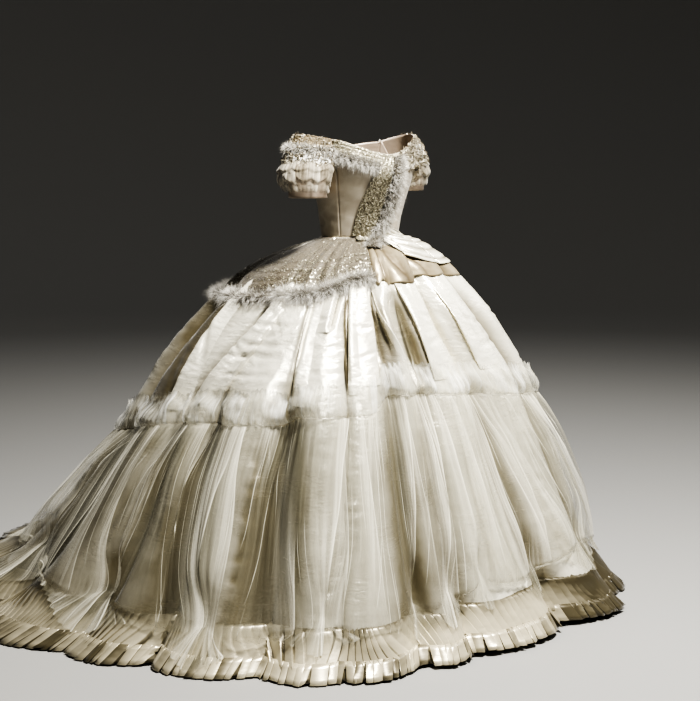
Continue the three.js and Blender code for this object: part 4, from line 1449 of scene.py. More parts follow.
@dataclass(frozen=True)
class Threads:
    """The veil's lengthwise threads.

    Attributes:
        along: Their distances round the veil.
        across: Where they start, as places across the skirt.
        target: Where they are caught.
        line: The drop that they are caught at.
        caught: How near each is to a catch.
        tail: How far each hangs on below.
    """

    along: Array
    across: Array
    target: Array
    line: Array
    caught: Array
    tail: Array


@dataclass
class Overskirt:
    """Sheer tulle that balloons from the line of gathers and is caught down above the flounce.

    The haze gives angles and how milky the net is there. The stand is how far it stands off, at
    shares of its length, and the tail stand is the same for its loose ends, at drops.
    """

    columns: int = 1460
    main_rows: int = 34
    tail_rows: int = 8
    haze: Pairs = (
        (-180, 0.0), (-140, 0.05), (-131, 0.12), (-122, -0.06), (-108, -0.02), (-98, -0.05),
        (-94, -0.02), (-90, 0.08), (-86, -0.04), (-80, 0.0), (-76, 0.14), (-70, 0.15), (-67, -0.02),
        (-58, -0.07), (-52, 0.02), (-46, 0.05), (-36, 0.06), (-28, -0.03), (-20, 0.0), (-12, 0.02),
        (-4, 0.08), (6, 0.08), (14, 0.0), (26, -0.04), (34, 0.02), (44, 0.10), (52, 0.04), (70, -0.04),
        (90, 0.08), (110, -0.04), (130, 0.08), (150, -0.04), (180, 0.0),
    )
    stand: Curve = Curve(
        (0.0, 0.005), (0.08, 0.016), (0.3, 0.030), (0.7, 0.043), (0.9, 0.036), (1.0, 0.020)
    )
    tail_stand: Pairs = (
        (0.88, 0.006), (0.955, 0.013), (1.03, 0.022), (1.08, 0.026),
    )
    catch_level: float = 0.90
    middle: float = 0.70
    gather_length: float = 0.026
    billow_length: float = 0.085
    fullness: float = 1.3

    def __post_init__(self) -> None:
        """Draws the noise that makes the gathers uneven."""
        self.noise = Crumple(21)
        self.slow = Crumple(22)

    def threads(self) -> Threads:
        """Spreads the threads round the skirt, and draws them together at the catches."""
        places, lengths = FORM.arc(self.middle)
        along = np.linspace(0, lengths[-1], self.columns)
        across = np.interp(along, lengths, places)
        angle = FORM.angle(across, self.catch_level)
        away = [wrapped(angle - c.angle) for c in CATCHES]
        near = np.stack([bell(a, c.width) for a, c in zip(away, CATCHES)])
        caught = np.clip(sum(bell(a, c.width * 0.62) for a, c in zip(away, CATCHES)), 0, 1)
        drops = np.array([c.drop for c in CATCHES])[:, None]
        line = (near / near.sum(axis=0) * drops).sum(axis=0) + 0.030 * (1 - caught)
        shift = -sum(c.pull * n * a for c, n, a in zip(CATCHES, near, away))
        target = FORM.across_at(angle + shift, self.catch_level)
        tail = 0.012 + (0.085 + 0.02 * self.slow(along / 0.3, 0)) * caught
        return Threads(along, across, target, line, caught, tail)

    def grid(self) -> tuple[Array, Array]:
        """The veil's points, and how much the net is bunched at each."""
        threads = self.threads()
        rows = [self.main_row(t, threads) for t in np.linspace(0, 1, self.main_rows + 1)]
        last = rows[-1][0]
        rows += [self.tail_row(t, threads, last) for t in np.linspace(0, 1, self.tail_rows + 1)[1:]]
        points, bunched = (np.stack(part) for part in zip(*rows))
        points[:, -1] = points[:, 0]
        return points, bunched

    def folds(self, along: Array, t: float) -> tuple[Array, Array, Array]:
        """The gathers at a share t of the veil's length.

        Args:
            along: Distances round the veil.
            t: Share of its length.

        Returns:
            How far the net stands out, how far it leans sideways, and how sharp its crease is.
        """
        phase = along / self.gather_length + 0.8 * self.noise(along / 0.11, t * 1.6)
        crest = np.abs(np.sin(np.pi * phase))
        strong = smooth(self.noise(along / 0.045 + 40, t * 1.4), 0.0, 0.75)
        even = math.exp(-t / 0.10)
        billow = self.slow.layered(along / self.billow_length, t * 1.3, 2)
        opened = math.sin(math.pi * (t * 0.9 + 0.06))
        size = 0.0004 + 0.0018 * even + 0.0026 * opened * strong
        firm = 0.5 * even + strong
        out = size * (1 - 2 * crest**0.8) + 0.011 * opened * billow
        return out, 0.0022 * np.sin(2 * np.pi * phase) * firm, bell(crest, 0.16) * firm

    def main_row(self, t: float, threads: Threads) -> tuple[Array, Array]:
        """A row between the gathers and the catches, a share t of the way down.

        Args:
            t: Share of the way down.
            threads: The veil's threads.

        Returns:
            Points, and how bunched the net is.
        """
        gather = FORM.gather(FORM.turn(threads.across, 0.5))
        place = mix(threads.across, threads.target, smooth(t, 0.45, 1.0) ** 1.4)
        held = threads.caught * smooth(t, 0.62, 1.0) ** 1.5
        out, lean, sharp = self.folds(threads.along, t)
        stand = mix(self.stand(t), 0.004, held) + out * (1 - 0.55 * held)
        folded = mix(mix(1.0, 0.35, smooth(t, 0.0, 0.3)), 0.85, held)
        points = FORM.point(place + lean / PIPE, mix(gather + 0.002, threads.line, t), folded, stand)
        crowd = 0.10 * math.exp(-t / 0.05) + 0.07 * held
        turn = FORM.turn(place, self.middle) + 3 * self.slow(threads.along / 0.2, t)
        milky = np.interp(turn, *zip(*self.haze)) * smooth(t, 0.0, 0.2)
        return points, sharp * 0.075 + crowd + milky

    def tail_row(self, t: float, threads: Threads, last: Array) -> tuple[Array, Array]:
        """A row of the loose ends below the catches, which fan out over the flounce.

        Args:
            t: Share of the way down the tail.
            threads: The veil's threads.
            last: The points of the row at the catches.

        Returns:
            Points, and how bunched the net is.
        """
        along = threads.along
        drop = threads.line + threads.tail * t
        place = mix(threads.target, threads.across, min(1.15 * t, 1.0) * 0.9)
        over = np.interp(drop, *zip(*self.tail_stand))
        ripple = 0.0035 * np.sin(2 * np.pi * along / 0.021 + 2 * self.noise(along / 0.06, 3))
        points = FORM.point(place, drop, mix(0.6, 0.95, t), over + ripple * (0.3 + t))
        sharp = bell(np.sin(np.pi * along / 0.016 + self.noise(along / 0.05, 0)), 0.22)
        bunched = (0.12 * sharp + 0.10 * (1 - t)) * threads.caught - 0.05 * t
        return mix(last, points, smooth(t, 0.0, 0.35)), bunched

    def build(self) -> None:
        """Builds the veil."""
        points, bunched = self.grid()
        lay("tulle_overskirt", points, VEIL, Held.GATHERED, quarters("overskirt"), ON_FRONT,
            fullness=self.fullness, closed=True, bunched=bunched)


@dataclass
class Heading:
    """The puffed and frilled band of tulle along the line of gathers.

    The profile gives shares of its height and how far it stands off there, and each swelling has an
    angle, a half width in degrees and a height.
    """

    columns: int = 1400
    depth: float = 0.076
    ruffle_length: float = 0.0165
    fullness: float = 1.5
    profile: Pairs = (
        (0.0, 0.003), (0.03, 0.006), (0.10, 0.009), (0.22, 0.012), (0.36, 0.013), (0.52, 0.013),
        (0.66, 0.012), (0.77, 0.010), (0.85, 0.009), (0.92, 0.010), (0.98, 0.012), (1.05, 0.015),
    )
    swellings: Triples = (
        (-55, 3.5, 0.016), (-18, 6, 0.008), (52, 9, 0.010),
    )

    def grid(self) -> tuple[Array, Array]:
        """The band's points from its top edge down, and how much the net is bunched at each."""
        noise, slow = Crumple(31), Crumple(32)
        places, lengths = FORM.arc(0.45)
        along = np.linspace(0, lengths[-1], self.columns)
        across = np.interp(along, lengths, places)
        angle = FORM.turn(across, 0.5)
        end = sum(height * bell(angle - at, width) for at, width, height in self.swellings)
        tall = self.depth * (1 + 0.10 * slow.layered(along / 0.07, 0, 2))
        rows, bunched = [], []
        for up, stand in reversed(self.profile):
            phase = along / self.ruffle_length + 1.6 * noise(along / 0.07, up * 1.8)
            crest = np.abs(np.sin(np.pi * phase))
            strong = 0.5 + smooth(noise(along / 0.04 + 9, up * 2), -0.5, 0.5)
            size = 0.0007 + 0.0024 * smooth(up, 0.75, 1.0) + 0.0020 * math.exp(-up / 0.06)
            lump = 0.0078 * slow.layered(along / 0.050 + 5, up * 1.8 + along / 0.09, 3)
            puffed = math.sin(math.pi * up) ** 0.7 if 0 < up < 1 else 0.0
            out = stand + size * strong * (1 - 2 * crest**0.8) + (lump + end) * (0.25 + puffed)
            lean = 0.0025 * np.sin(2 * np.pi * phase) / PIPE
            frill = bell(crest, 0.5) + slow.layered(along / 0.03, 0, 2)
            drop = FORM.gather(angle) - tall * up - 0.006 * smooth(up, 0.8, 1.0) * frill
            folded = 0.6 + 0.4 * (1 - min(up, 1.0)) ** 3
            rows.append(FORM.point(across + lean, drop, folded, np.maximum(out, 0.002)))
            torn = smooth(noise(along / 0.012, up * 8), -0.5, 0.6)
            edge = 0.10 * math.exp(-up / 0.04) - 0.10 * smooth(up, 0.84, 1.0) * torn
            crumple = noise.ridged(along / 0.034 + 1.3 * up, up * 3.4 + along / 0.09, 2)
            bunched.append(0.07 * (bell(crest, 0.2) - 0.3) * strong + 0.36 * (crumple - 0.55) + edge)
        points = np.stack(rows)
        points[:, -1] = points[:, 0]
        return points, np.stack(bunched)

    def build(self) -> None:
        """Builds the band."""
        points, bunched = self.grid()
        lay("tulle_heading", points, HEADING_NET, Held.GATHERED, quarters("heading"), ON_FRONT,
            fullness=self.fullness, closed=True, bunched=bunched)


# ---------- The flounce and its frill ----------
@dataclass
class Flounce:
    """A pleated flounce of satin, and the stiff box-pleated frill at the hem.

    The turns are where the grid has a column within a pleat, and the face is a box pleat's section:
    shares of its width, and of its depth.
    """

    rows: int = 10
    frill_rows: int = 5
    wall: float = 0.0006
    pleat: float = 0.0235
    tucked: float = -0.0020
    boxes_drawn: int = 500
    box_width: tuple[float, float] = (0.013, 0.030)
    turns: tuple[float, ...] = (0.0, 0.12, 0.45, 0.80, 0.87, 0.94)
    offset: Curve = Curve(
        (0.955, 0.0035), (0.985, 0.006), (1.015, 0.010), (1.04, 0.0125), (1.071, 0.0135)
    )
    face: Pairs = (
        (0.0, 0.0), (0.05, 0.02), (0.02, 0.55), (0.015, 0.97), (0.05, 1.04), (0.5, 1.1), (0.95, 1.04),
        (0.985, 0.97), (0.98, 0.55), (0.95, 0.02),
    )

    def flounce_grid(self) -> tuple[Array, Array]:
        """The flounce's points from its sewn top to the frill's seam, and painted shade in its slits and
        folds.
        """
        noise, slow = Crumple(41), Crumple(42)
        places, lengths = FORM.arc(1.0)
        count = round(lengths[-1] / self.pleat)
        wanted = np.append((np.arange(count)[:, None] + np.array(self.turns)).ravel(), count)
        saw = wanted - np.floor(wanted)
        fold = np.where(saw < 0.82, saw / 0.82, (1 - saw) / 0.18)
        slit = smooth(saw, 0.80, 0.88) + (1 - smooth(saw, 0.0, 0.10))
        fine = np.linspace(0, lengths[-1], 9000)
        out, shaded = [], []
        for t in np.linspace(0, 1, self.rows):
            drop = mix(FORM.flounce_top - 0.004, FORM.frill_top + 0.012, t)
            slant = 0.035 * t * (1 + 1.2 * slow(fine / 0.3, 0))
            phase = (fine + slant) / self.pleat + 2.2 * noise(fine / 0.12, t * 0.7)
            phase = np.maximum.accumulate(phase) - phase[0]
            along = np.interp(wanted, phase * count / phase[-1], fine)
            strong = 0.25 + 0.95 * smooth(noise(along / 0.09 + 20, t), -0.6, 0.6)
            size = mix(0.0030, 0.0110, smooth(t, 0.0, 0.45)) * mix(1.0, 0.8, t)
            swell = 0.005 * slow.layered(along / 0.13, t, 2) * math.sin(math.pi * min(0.15 + t, 1))
            stand = self.offset(drop) + size * strong * (fold - 0.45) + swell
            stand = np.maximum(stand, 0.0015) if t > 0 else np.full_like(stand, self.tucked)
            across = np.interp(along, lengths, places) - 0.004 * (1 - fold) * t / PIPE
            out.append(FORM.point(across, drop, 1.0, stand))
            # Painted shade in the slits between pleats, in the folds' hollows, and under the sewn top.
            shade = 0.65 * slit * strong**2 + 0.15 * (1 - fold) + 0.3 * math.exp(-t / 0.08)
            shaded.append(np.clip(shade, 0, 1))
        points = np.stack(out)
        points[:, -1] = points[:, 0]
        return points, np.stack(shaded)

    def frill_grid(self) -> tuple[Array, Array]:
        """The frill's points, of box pleats that each turn a little their own way, and its painted shade."""
        rng = np.random.default_rng(43)
        places, lengths = FORM.arc(1.05)
        whole = lengths[-1]
        drawn = self.boxes_drawn
        widths = rng.uniform(*self.box_width, drawn) * np.where(rng.random(drawn) < 0.15, 1.5, 1.0)
        count = int(np.searchsorted(np.cumsum(widths), whole))
        widths = widths[:count] * whole / widths[:count].sum()
        starts = (np.cumsum(widths) - widths)[:, None]
        tilt = rng.uniform(-0.45, 0.45, (count, 1))
        lean = rng.normal(-0.004, 0.004, (count, 1))
        deep = rng.uniform(0.7, 1.25, (count, 1))
        fallen = rng.normal(0.0, 0.0016, (count, 1))
        corner = np.where(rng.random((count, 1)) < 0.12, rng.uniform(0.004, 0.009, (count, 1)), 0.0)
        gap = rng.uniform(0.0, 0.22, (count, 1)) ** 1.5
        place, high = np.array(self.face).T
        x = 0.5 + (place - 0.5) * (1 - gap * (high > 0.3))
        # Painted shade: full in slits and sides, deeper towards one edge of each face, and on pleats drawn at
        # random.
        dark = rng.random((count, 1)) < 0.22
        tone = np.where(dark, rng.uniform(0.45, 0.8, (count, 1)), rng.uniform(0.0, 0.3, (count, 1)))
        fold = np.where(high < 0.7, 1.0, tone + 0.25 * (1 - x))
        rows = []
        for t in np.linspace(0, 1, self.frill_rows):
            along = starts + widths[:, None] * x + lean * t * (high > 0.3)
            along = np.append(along.ravel(), whole + along[0, 0])
            out = mix(0.0045, 0.0120, t) * deep * high * (1 + tilt * (x - 0.5) * 2 * t)
            out = (out + self.offset(1.045) - 0.004 + 0.004 * t).ravel()
            lift = ((fallen + corner * x**3) * t**3).ravel()
            across = np.interp(along % whole, lengths, places)
            drop = mix(FORM.frill_top - 0.004, FORM.hem_drop + 0.001, t) - 0.0015 * t
            row = FORM.point(across, drop, 1.0, np.append(out, out[0]))
            row[:, 2] = np.maximum(row[:, 2] + np.maximum(np.append(lift, 0.0), 0.0), LOWEST)
            rows.append(row)
        points = np.stack(rows)
        points[:, -1] = points[:, 0]
        return points, np.broadcast_to(np.clip(np.append(fold.ravel(), 1.0), 0, 1), points.shape[:2])

    def build(self) -> None:
        """Builds both layers, with painted shade near the flounce's top and on the hem's sides."""
        for name, (points, fold) in (("flounce", self.flounce_grid()), ("frill", self.frill_grid())):
            angle = np.degrees(np.arctan2(points[..., 0], -points[..., 1]))
            # Painted shade deepens below the flounce's sewn top, and on the sides past -60 and 20 degrees.
            if name == "flounce":
                fold = fold + 0.75 * np.exp(-np.linspace(0, 1, len(points))[:, None] / 0.28)
            painted_side_shade = 0.50 * smooth(-60 - angle, 0.0, 50.0) + 0.95 * smooth(angle, 20.0, 44.0)
            piece = lay(f"satin_{name}", points, HEM_SATIN, Held.GATHERED, quarters(name), ON_FRONT,
                        wall=self.wall, closed=True, fold=np.minimum(fold + painted_side_shade, 1.25))
            piece.data.set_sharp_from_angle(angle=math.radians(30))


# ---------- Over the hips ----------
@dataclass
class Peplum:
    """The gauze peplum over the right hip, with its spangles and its edge of fur.

    Each embroidered band has its share of the way down, its width and its strength.
    """

    start: float = 0.0
    end: float = 7.0
    top: float = 0.002
    columns: int = 170
    rows: int = 36
    wall: float = 0.0010
    flutes: float = 1.35
    spangles_tried: int = 15000
    spangles_sewn: int = 3600
    lift: Curve = Curve((0, 0.001), (0.2, 0.004), (0.7, 0.009), (0.92, 0.006), (1, 0.003))
    fur_size: tuple[int, int] = (12, 200)
    fur_lift: Curve = Curve((0, 0.006), (0.5, 0.014), (1, 0.004))
    bands: Triples = (
        (0.93, 0.035, 1.0), (0.80, 0.03, 0.9), (0.66, 0.025, 0.8), (0.50, 0.022, 0.7),
    )

    def laid(self, rows: int, columns: int) -> tuple[Array, Array, Array]:
        """Places across, shares of the way down, and the angles of the places, as grids."""
        across, t = np.meshgrid(np.linspace(self.start, self.end, columns), np.linspace(0, 1, rows))
        return across, t, FORM.turn(across, HIP)

    def gauze_grid(self) -> tuple[Array, Array]:
        """The gauze's points, and where its embroidered bands run."""
        noise = Crumple(51)
        across, t, angle = self.laid(self.rows, self.columns)
        wave = np.cos(2 * np.pi * (across * self.flutes + 0.5 * noise(across * 1.2, 0)))
        sharp = np.sign(wave) * np.abs(wave) ** 0.7
        fluted = 0.0045 * t**0.8 * (1 - 0.6 * t**4) * (1 + sharp)
        lift = self.lift(t) + fluted + 0.001 * noise.layered(across * 6, t * 9)
        hem = mix(FORM.peplum_hem(angle), FORM.peplum_fur(angle), 0.35)
        bands = sum(amount * bell(t - at, width) for at, width, amount in self.bands)
        rays = 0.5 * bell(np.abs(np.sin(np.pi * (across * self.flutes + 0.25))), 0.10) * (t < 0.8)
        return FORM.over(across, mix(self.top, hem, t), lift), np.clip(1.15 * bands + rays, 0, 1)

    def fur_grid(self) -> Array:
        """A surface over the band of fur."""
        across, t, angle = self.laid(*self.fur_size)
        upper, lower = FORM.peplum_hem(angle), FORM.peplum_fur(angle)
        return FORM.over(across, mix(mix(upper, lower, 0.45), lower, t), self.fur_lift(t))

    def spangles(self, points: Array, border: Array) -> Array:
        """Sequins scattered on the gauze, close along its bands."""
        rng = np.random.default_rng(52)
        rows, columns = points.shape[:2]
        row = rng.uniform(0, rows - 1, self.spangles_tried)
        column = rng.uniform(0, columns - 1, self.spangles_tried)
        chance = 0.10 + 0.9 * sample_grid(border[..., None], row, column)[:, 0]
        wide = np.linalg.norm(sample_grid(points, row, column)[:, :2], axis=1) / 0.3
        keep = np.flatnonzero(rng.random(len(row)) < chance * np.clip(wide, 0.2, 1))[: self.spangles_sewn]
        row, column = row[keep], column[keep]
        return sequins(points, row, column, rng, tilt=0.25, lift=0.0012, sizes=(0.0011, 0.0021))

    def build(self) -> None:
        """Builds the gauze, its spangles and its fur."""
        points, border = self.gauze_grid()
        spangles = Trim("peplum_spangles", self.spangles(points, border), GOLD_SEQUINS)
        lay("gauze_peplum", points, GAUZE, Held.DRAPED, ("peplum",), ("satin_side_right",), (spangles,),
            wall=self.wall, border=border)
        fur = FurBand("peplum", self.fur_grid(), hairs=13000, length=0.036, seed=61, nodes=("peplum_fur",))
        fur.build()


@dataclass
class FurBand:
    """A band of white fur: close underfur, and long soft hairs standing from it.

    Attributes:
        name: What it trims.
        bed: The surface that it grows on.
        hairs: How many hairs it has.
        length: Their usual length.
        seed: Picks its pattern.
        nodes: The solids that it stands for.
        down: How far the hairs lean down.
        thickness: The underfur's own thickness.
        tufting: How far it rises and falls in tufts.
        hair_width: A hair's width at its root.
        droop: How far a hair's tip sinks, as a share of its length.
    """

    name: str
    bed: Array
    hairs: int
    length: float
    seed: int
    nodes: tuple[str, ...] = ()
    down: float = 0.9
    thickness: float = 0.0022
    tufting: float = 0.0022
    hair_width: float = 0.0008
    droop: float = 0.18

    def grown(self, points: Array, normals: Array, noise: Crumple) -> Array:
        """The hairs.

        Args:
            points: The underfur's grid.
            normals: Its normals.
            noise: Gathers the hairs into tufts.

        Returns:
            Points for ribbons().
        """
        rng = np.random.default_rng(self.seed)
        rows, columns = points.shape[:2]
        row = rng.uniform(0, rows - 1, self.hairs)
        column = rng.uniform(0, columns - 1, self.hairs)
        out = sample_grid(normals, row, column)
        tuft = noise(column / 2.2, row / 2.2)
        aside = unit(np.cross(out, (0.0, 0.0, 1.0)))
        up = np.cross(aside, out)
        up *= np.sign(up[:, 2:])
        edge = (row / (rows - 1) - 0.5)[:, None] * 2
        way = out - up * self.down * (0.4 + 0.9 * edge) + aside * tuft[:, None] * 0.7
        way = unit(way + rng.normal(0, 0.30, way.shape))
        flat = unit(np.cross(way, rng.normal(0, 1, way.shape)))
        length = self.length * rng.uniform(0.45, 1.0, self.hairs) * (0.85 + 0.25 * tuft)
        length *= np.where(rng.random(self.hairs) < 0.10, 1.5, 1.0)
        return strands(sample_grid(points, row, column), way, flat, length, self.hair_width, self.droop)

    def build(self) -> None:
        """Builds the underfur and the hairs."""
        noise = Crumple(self.seed)
        row, column = np.indices(self.bed.shape[:2])
        normals = grid_normals(self.bed)
        points = self.bed + normals * self.tufting * noise.layered(column / 3.0, row / 2.0, 2)[..., None]
        hairs = Trim(f"{self.name}_fur_hairs", self.grown(points, normals, noise), FUR)
        lay(f"{self.name}_underfur", points, UNDERFUR, Held.DRAPED, self.nodes, trims=(hairs,),
            wall=self.thickness, cut=self.bed)


@dataclass
class HipDrape:
    """Soft folds of satin over the left hip."""

    start: float = 6.9
    end: float = 11.0
    top: float = 0.002
    wall: float = 0.0010
    pleats: float = 5.6
    columns: int = 150
    rows: int = 34
    lift: Curve = Curve((0, 0.001), (0.2, 0.003), (0.65, 0.006), (1, 0.0015))

    def build(self) -> None:
        """Builds the drape."""
        noise = Crumple(71)
        share, t = np.meshgrid(np.linspace(0, 1, self.columns), np.linspace(0, 1, self.rows))
        across = mix(self.start, self.end, share)
        angle = FORM.turn(across, HIP)
        phase = self.pleats * share**0.9 - 0.8 * t * (1 - share) + 0.35 * noise(share * 4, t * 1.2)
        part = phase - np.floor(phase)
        folds = np.where(part < 0.78, np.sin(np.pi / 2 * part / 0.78), (1 - part) / 0.22)
        scallops = 0.010 * np.sin(2 * np.pi * phase) * (1 - share) ** 1.5
        hem = FORM.peplum_hem(angle) + 0.034 * bell(angle + 14, 24) + scallops
        lift = self.lift(t) + 0.0075 * folds * t**0.6 * (1 - 0.7 * t**8)
        lift = lift + 0.0016 * noise.layered(share * 12, t * 5)
        points = FORM.over(across, mix(self.top, hem, t), lift)
        # Painted shade in the hollows of the folds, and a little over the whole drape.
        lay("satin_hip_drape", points, DRAPE_SATIN, Held.DRAPED, ("hip_drape",), ON_FRONT,
            wall=self.wall, fold=0.2 + 0.8 * (1 - folds) ** 1.2)


@dataclass
class Sash:
    """A length of satin in pleats, drawn from the middle of the waist down over the left hip.

    The edges give, at shares of its length, an angle and a depth below the waist.
    """

    lower: Triples = (
        (0.0, -16, -0.012), (0.14, -7, 0.014), (0.30, 9, 0.050), (0.5, 36, 0.082), (0.75, 68, 0.082),
        (1.0, 104, 0.030),
    )
    upper: Triples = (
        (0.0, -2, -0.034), (0.14, 8, -0.030), (0.30, 24, -0.020), (0.5, 46, -0.010), (0.75, 74, -0.002),
        (1.0, 106, 0.006),
    )
    pleats: int = 6
    columns: int = 90
    rows: int = 36
    clear: float = 0.004
    wall: float = 0.0008

    def place(self, angle: Array, down: Array, lift: Array) -> Array:
        """A point on the bodice above the waist, or on the skirt below it."""
        above = TORSO.point(angle, np.maximum(-down, 0.0), lift + self.clear)
        drop = np.maximum(down, 0.0)
        across = [FORM.across_at(a, d) for a, d in zip(angle.ravel(), drop.ravel())]
        stand = lift + self.clear + 0.007 * smooth(drop, 0.0, 0.03)
        below = FORM.over(np.array(across).reshape(angle.shape), drop, stand)
        return np.where((down < 0)[..., None], above, below)

    def build(self) -> None:
        """Builds the sash."""
        noise = Crumple(72)
        u, v = np.meshgrid(np.linspace(0, 1, self.columns), np.linspace(0, 1, self.rows))
        angle, down = (mix(paired(self.upper, k)(u), paired(self.lower, k)(u), v) for k in (1, 2))
        phase = self.pleats * (v + 0.09 * noise(3, v * 2.3)) + 0.35 * noise(u * 3, v * 2)
        part = phase - np.floor(phase)
        fold = np.where(part < 0.78, part / 0.78, (1 - part) / 0.22)
        size = 0.0030 + 0.0020 * bell(u - 0.3, 0.2) - 0.0018 * smooth(u, 0.5, 1.0)
        lift = size * fold + 0.003 * np.sin(np.pi * v) ** 0.5 + 0.0012 * noise.layered(u * 9, v * 4)
        # Painted shade in the hollows of the pleats.
        lay("satin_sash", self.place(angle, down, lift), SATIN, Held.DRAPED, on=("satin_hip_drape",),
            wall=self.wall, fold=0.9 * (1 - fold) ** 2)


# ---------- The bodice ----------
BODICE = (
    (0.0, 0.118, 0.092, 0.092), (0.060, 0.126, 0.104, 0.097), (0.120, 0.139, 0.126, 0.102),
    (0.170, 0.150, 0.144, 0.104), (0.205, 0.157, 0.142, 0.104), (0.262, 0.164, 0.118, 0.104),
)  # height, half width, depth in front and behind


@dataclass(frozen=True)
class BodiceForm:
    """The bodice's surface, from the waist to the neckline."""

    centre: float = 0.230
    front: float = 0.271
    underarm: float = 0.188
    back: float = 0.262
    nape: float = 0.250
    arm_front: float = 62.0
    arm_back: float = 130.0
    side: Curve = paired(BODICE, 1)
    depth_front: Curve = paired(BODICE, 2)
    depth_back: Curve = paired(BODICE, 3)

    def top(self, angle: Array) -> Array:
        """Height of the neckline at an angle."""
        a = np.abs(angle)
        ahead = mix(self.centre, self.front, smooth(a, 0, self.arm_front))
        behind = mix(self.back, self.nape, smooth(a, self.arm_back, 180))
        t = np.clip((a - self.arm_front) / (self.arm_back - self.arm_front), 0, 1)
        under = self.front - (self.front - self.underarm) * np.sin(np.pi * t)
        return np.where(a <= self.arm_front, ahead, np.where(a >= self.arm_back, behind, under))

    def point(self, angle: Array, height: Array, lift: Array = 0.0) -> Array:
        """A point on the bodice, moved out by lift."""
        s, c = np.sin(np.radians(angle)), np.cos(np.radians(angle))
        side = self.side(height)
        depth = np.where(c > 0, self.depth_front(height), self.depth_back(height))
        nx, ny = s / side, -c / depth
        size = np.hypot(nx, ny)
        x = side * s + lift * nx / size
        y = -depth * c + lift * ny / size
        return np.stack([x, y, np.broadcast_to(height, x.shape)], axis=-1)

    def at(self, angle: Array, share: Array, lift: Array = 0.0) -> Array:
        """A point at a share of the bodice's height, moved out by lift."""
        return self.point(angle, share * self.top(angle), lift)


TORSO = BodiceForm()


@dataclass
class Bodice:
    """The fitted satin bodice in seven panels."""

    wall: float = 0.0010
    step: float = 0.0055
    rows: int = 48
    radius: float = 0.14
    widest: float = 0.15
    panels: tuple[tuple[str, float, float], ...] = (
        ("back_right", -180, -130), ("side_right", -130, -62), ("side_front_right", -62, -22),
        ("front", -22, 22), ("side_front_left", 22, 62), ("side_left", 62, 130), ("back_left", 130, 180),
    )

    def grid(self, start: float, end: float, noise: Crumple) -> tuple[Array, Array]:
        """The points of a panel, and painted shade from how deep each lies in a wrinkle."""
        columns = math.ceil(math.radians(end - start) * self.widest / self.step)
        angle, share = np.meshgrid(np.linspace(start, end, columns), np.linspace(1, 0, self.rows))
        height = share * TORSO.top(angle) + 0.0002
        wide = np.radians(angle) * self.radius
        ridges = noise.ridged(wide / 0.05, height / 0.021 + wide * 4, 2)
        amount = 0.0006 + 0.0012 * smooth(0.11 - height, 0.0, 0.09)
        relief = amount * (ridges - 0.6) + 0.0012 * noise.layered(wide / 0.06, height / 0.05, 2)
        seam = np.radians(np.minimum(np.abs(angle - start), np.abs(angle - end))) * self.radius
        relief = relief - 0.0005 * bell(seam, 0.003) + 0.0006 * bell(seam - 0.006, 0.003)
        relief = relief * smooth(180 - np.abs(angle), 0.0, 12.0)
        return TORSO.point(angle, height, relief), smooth(0.75 - ridges, 0.0, 0.5) * 0.5

    def build(self) -> None:
        """Builds each panel, with a darker satin on its inner face and rim as painted shade."""
        noise = Crumple(81)
        for name, start, end in self.panels:
            points, fold = self.grid(start, end, noise)
            panel = lay(f"satin_bodice_{name}", points, BODICE_SATIN, Held.STRETCHED, (f"bodice_{name}",),
                        wall=self.wall, fold=fold)
            shade_inside_with(panel, SHADED_SATIN)


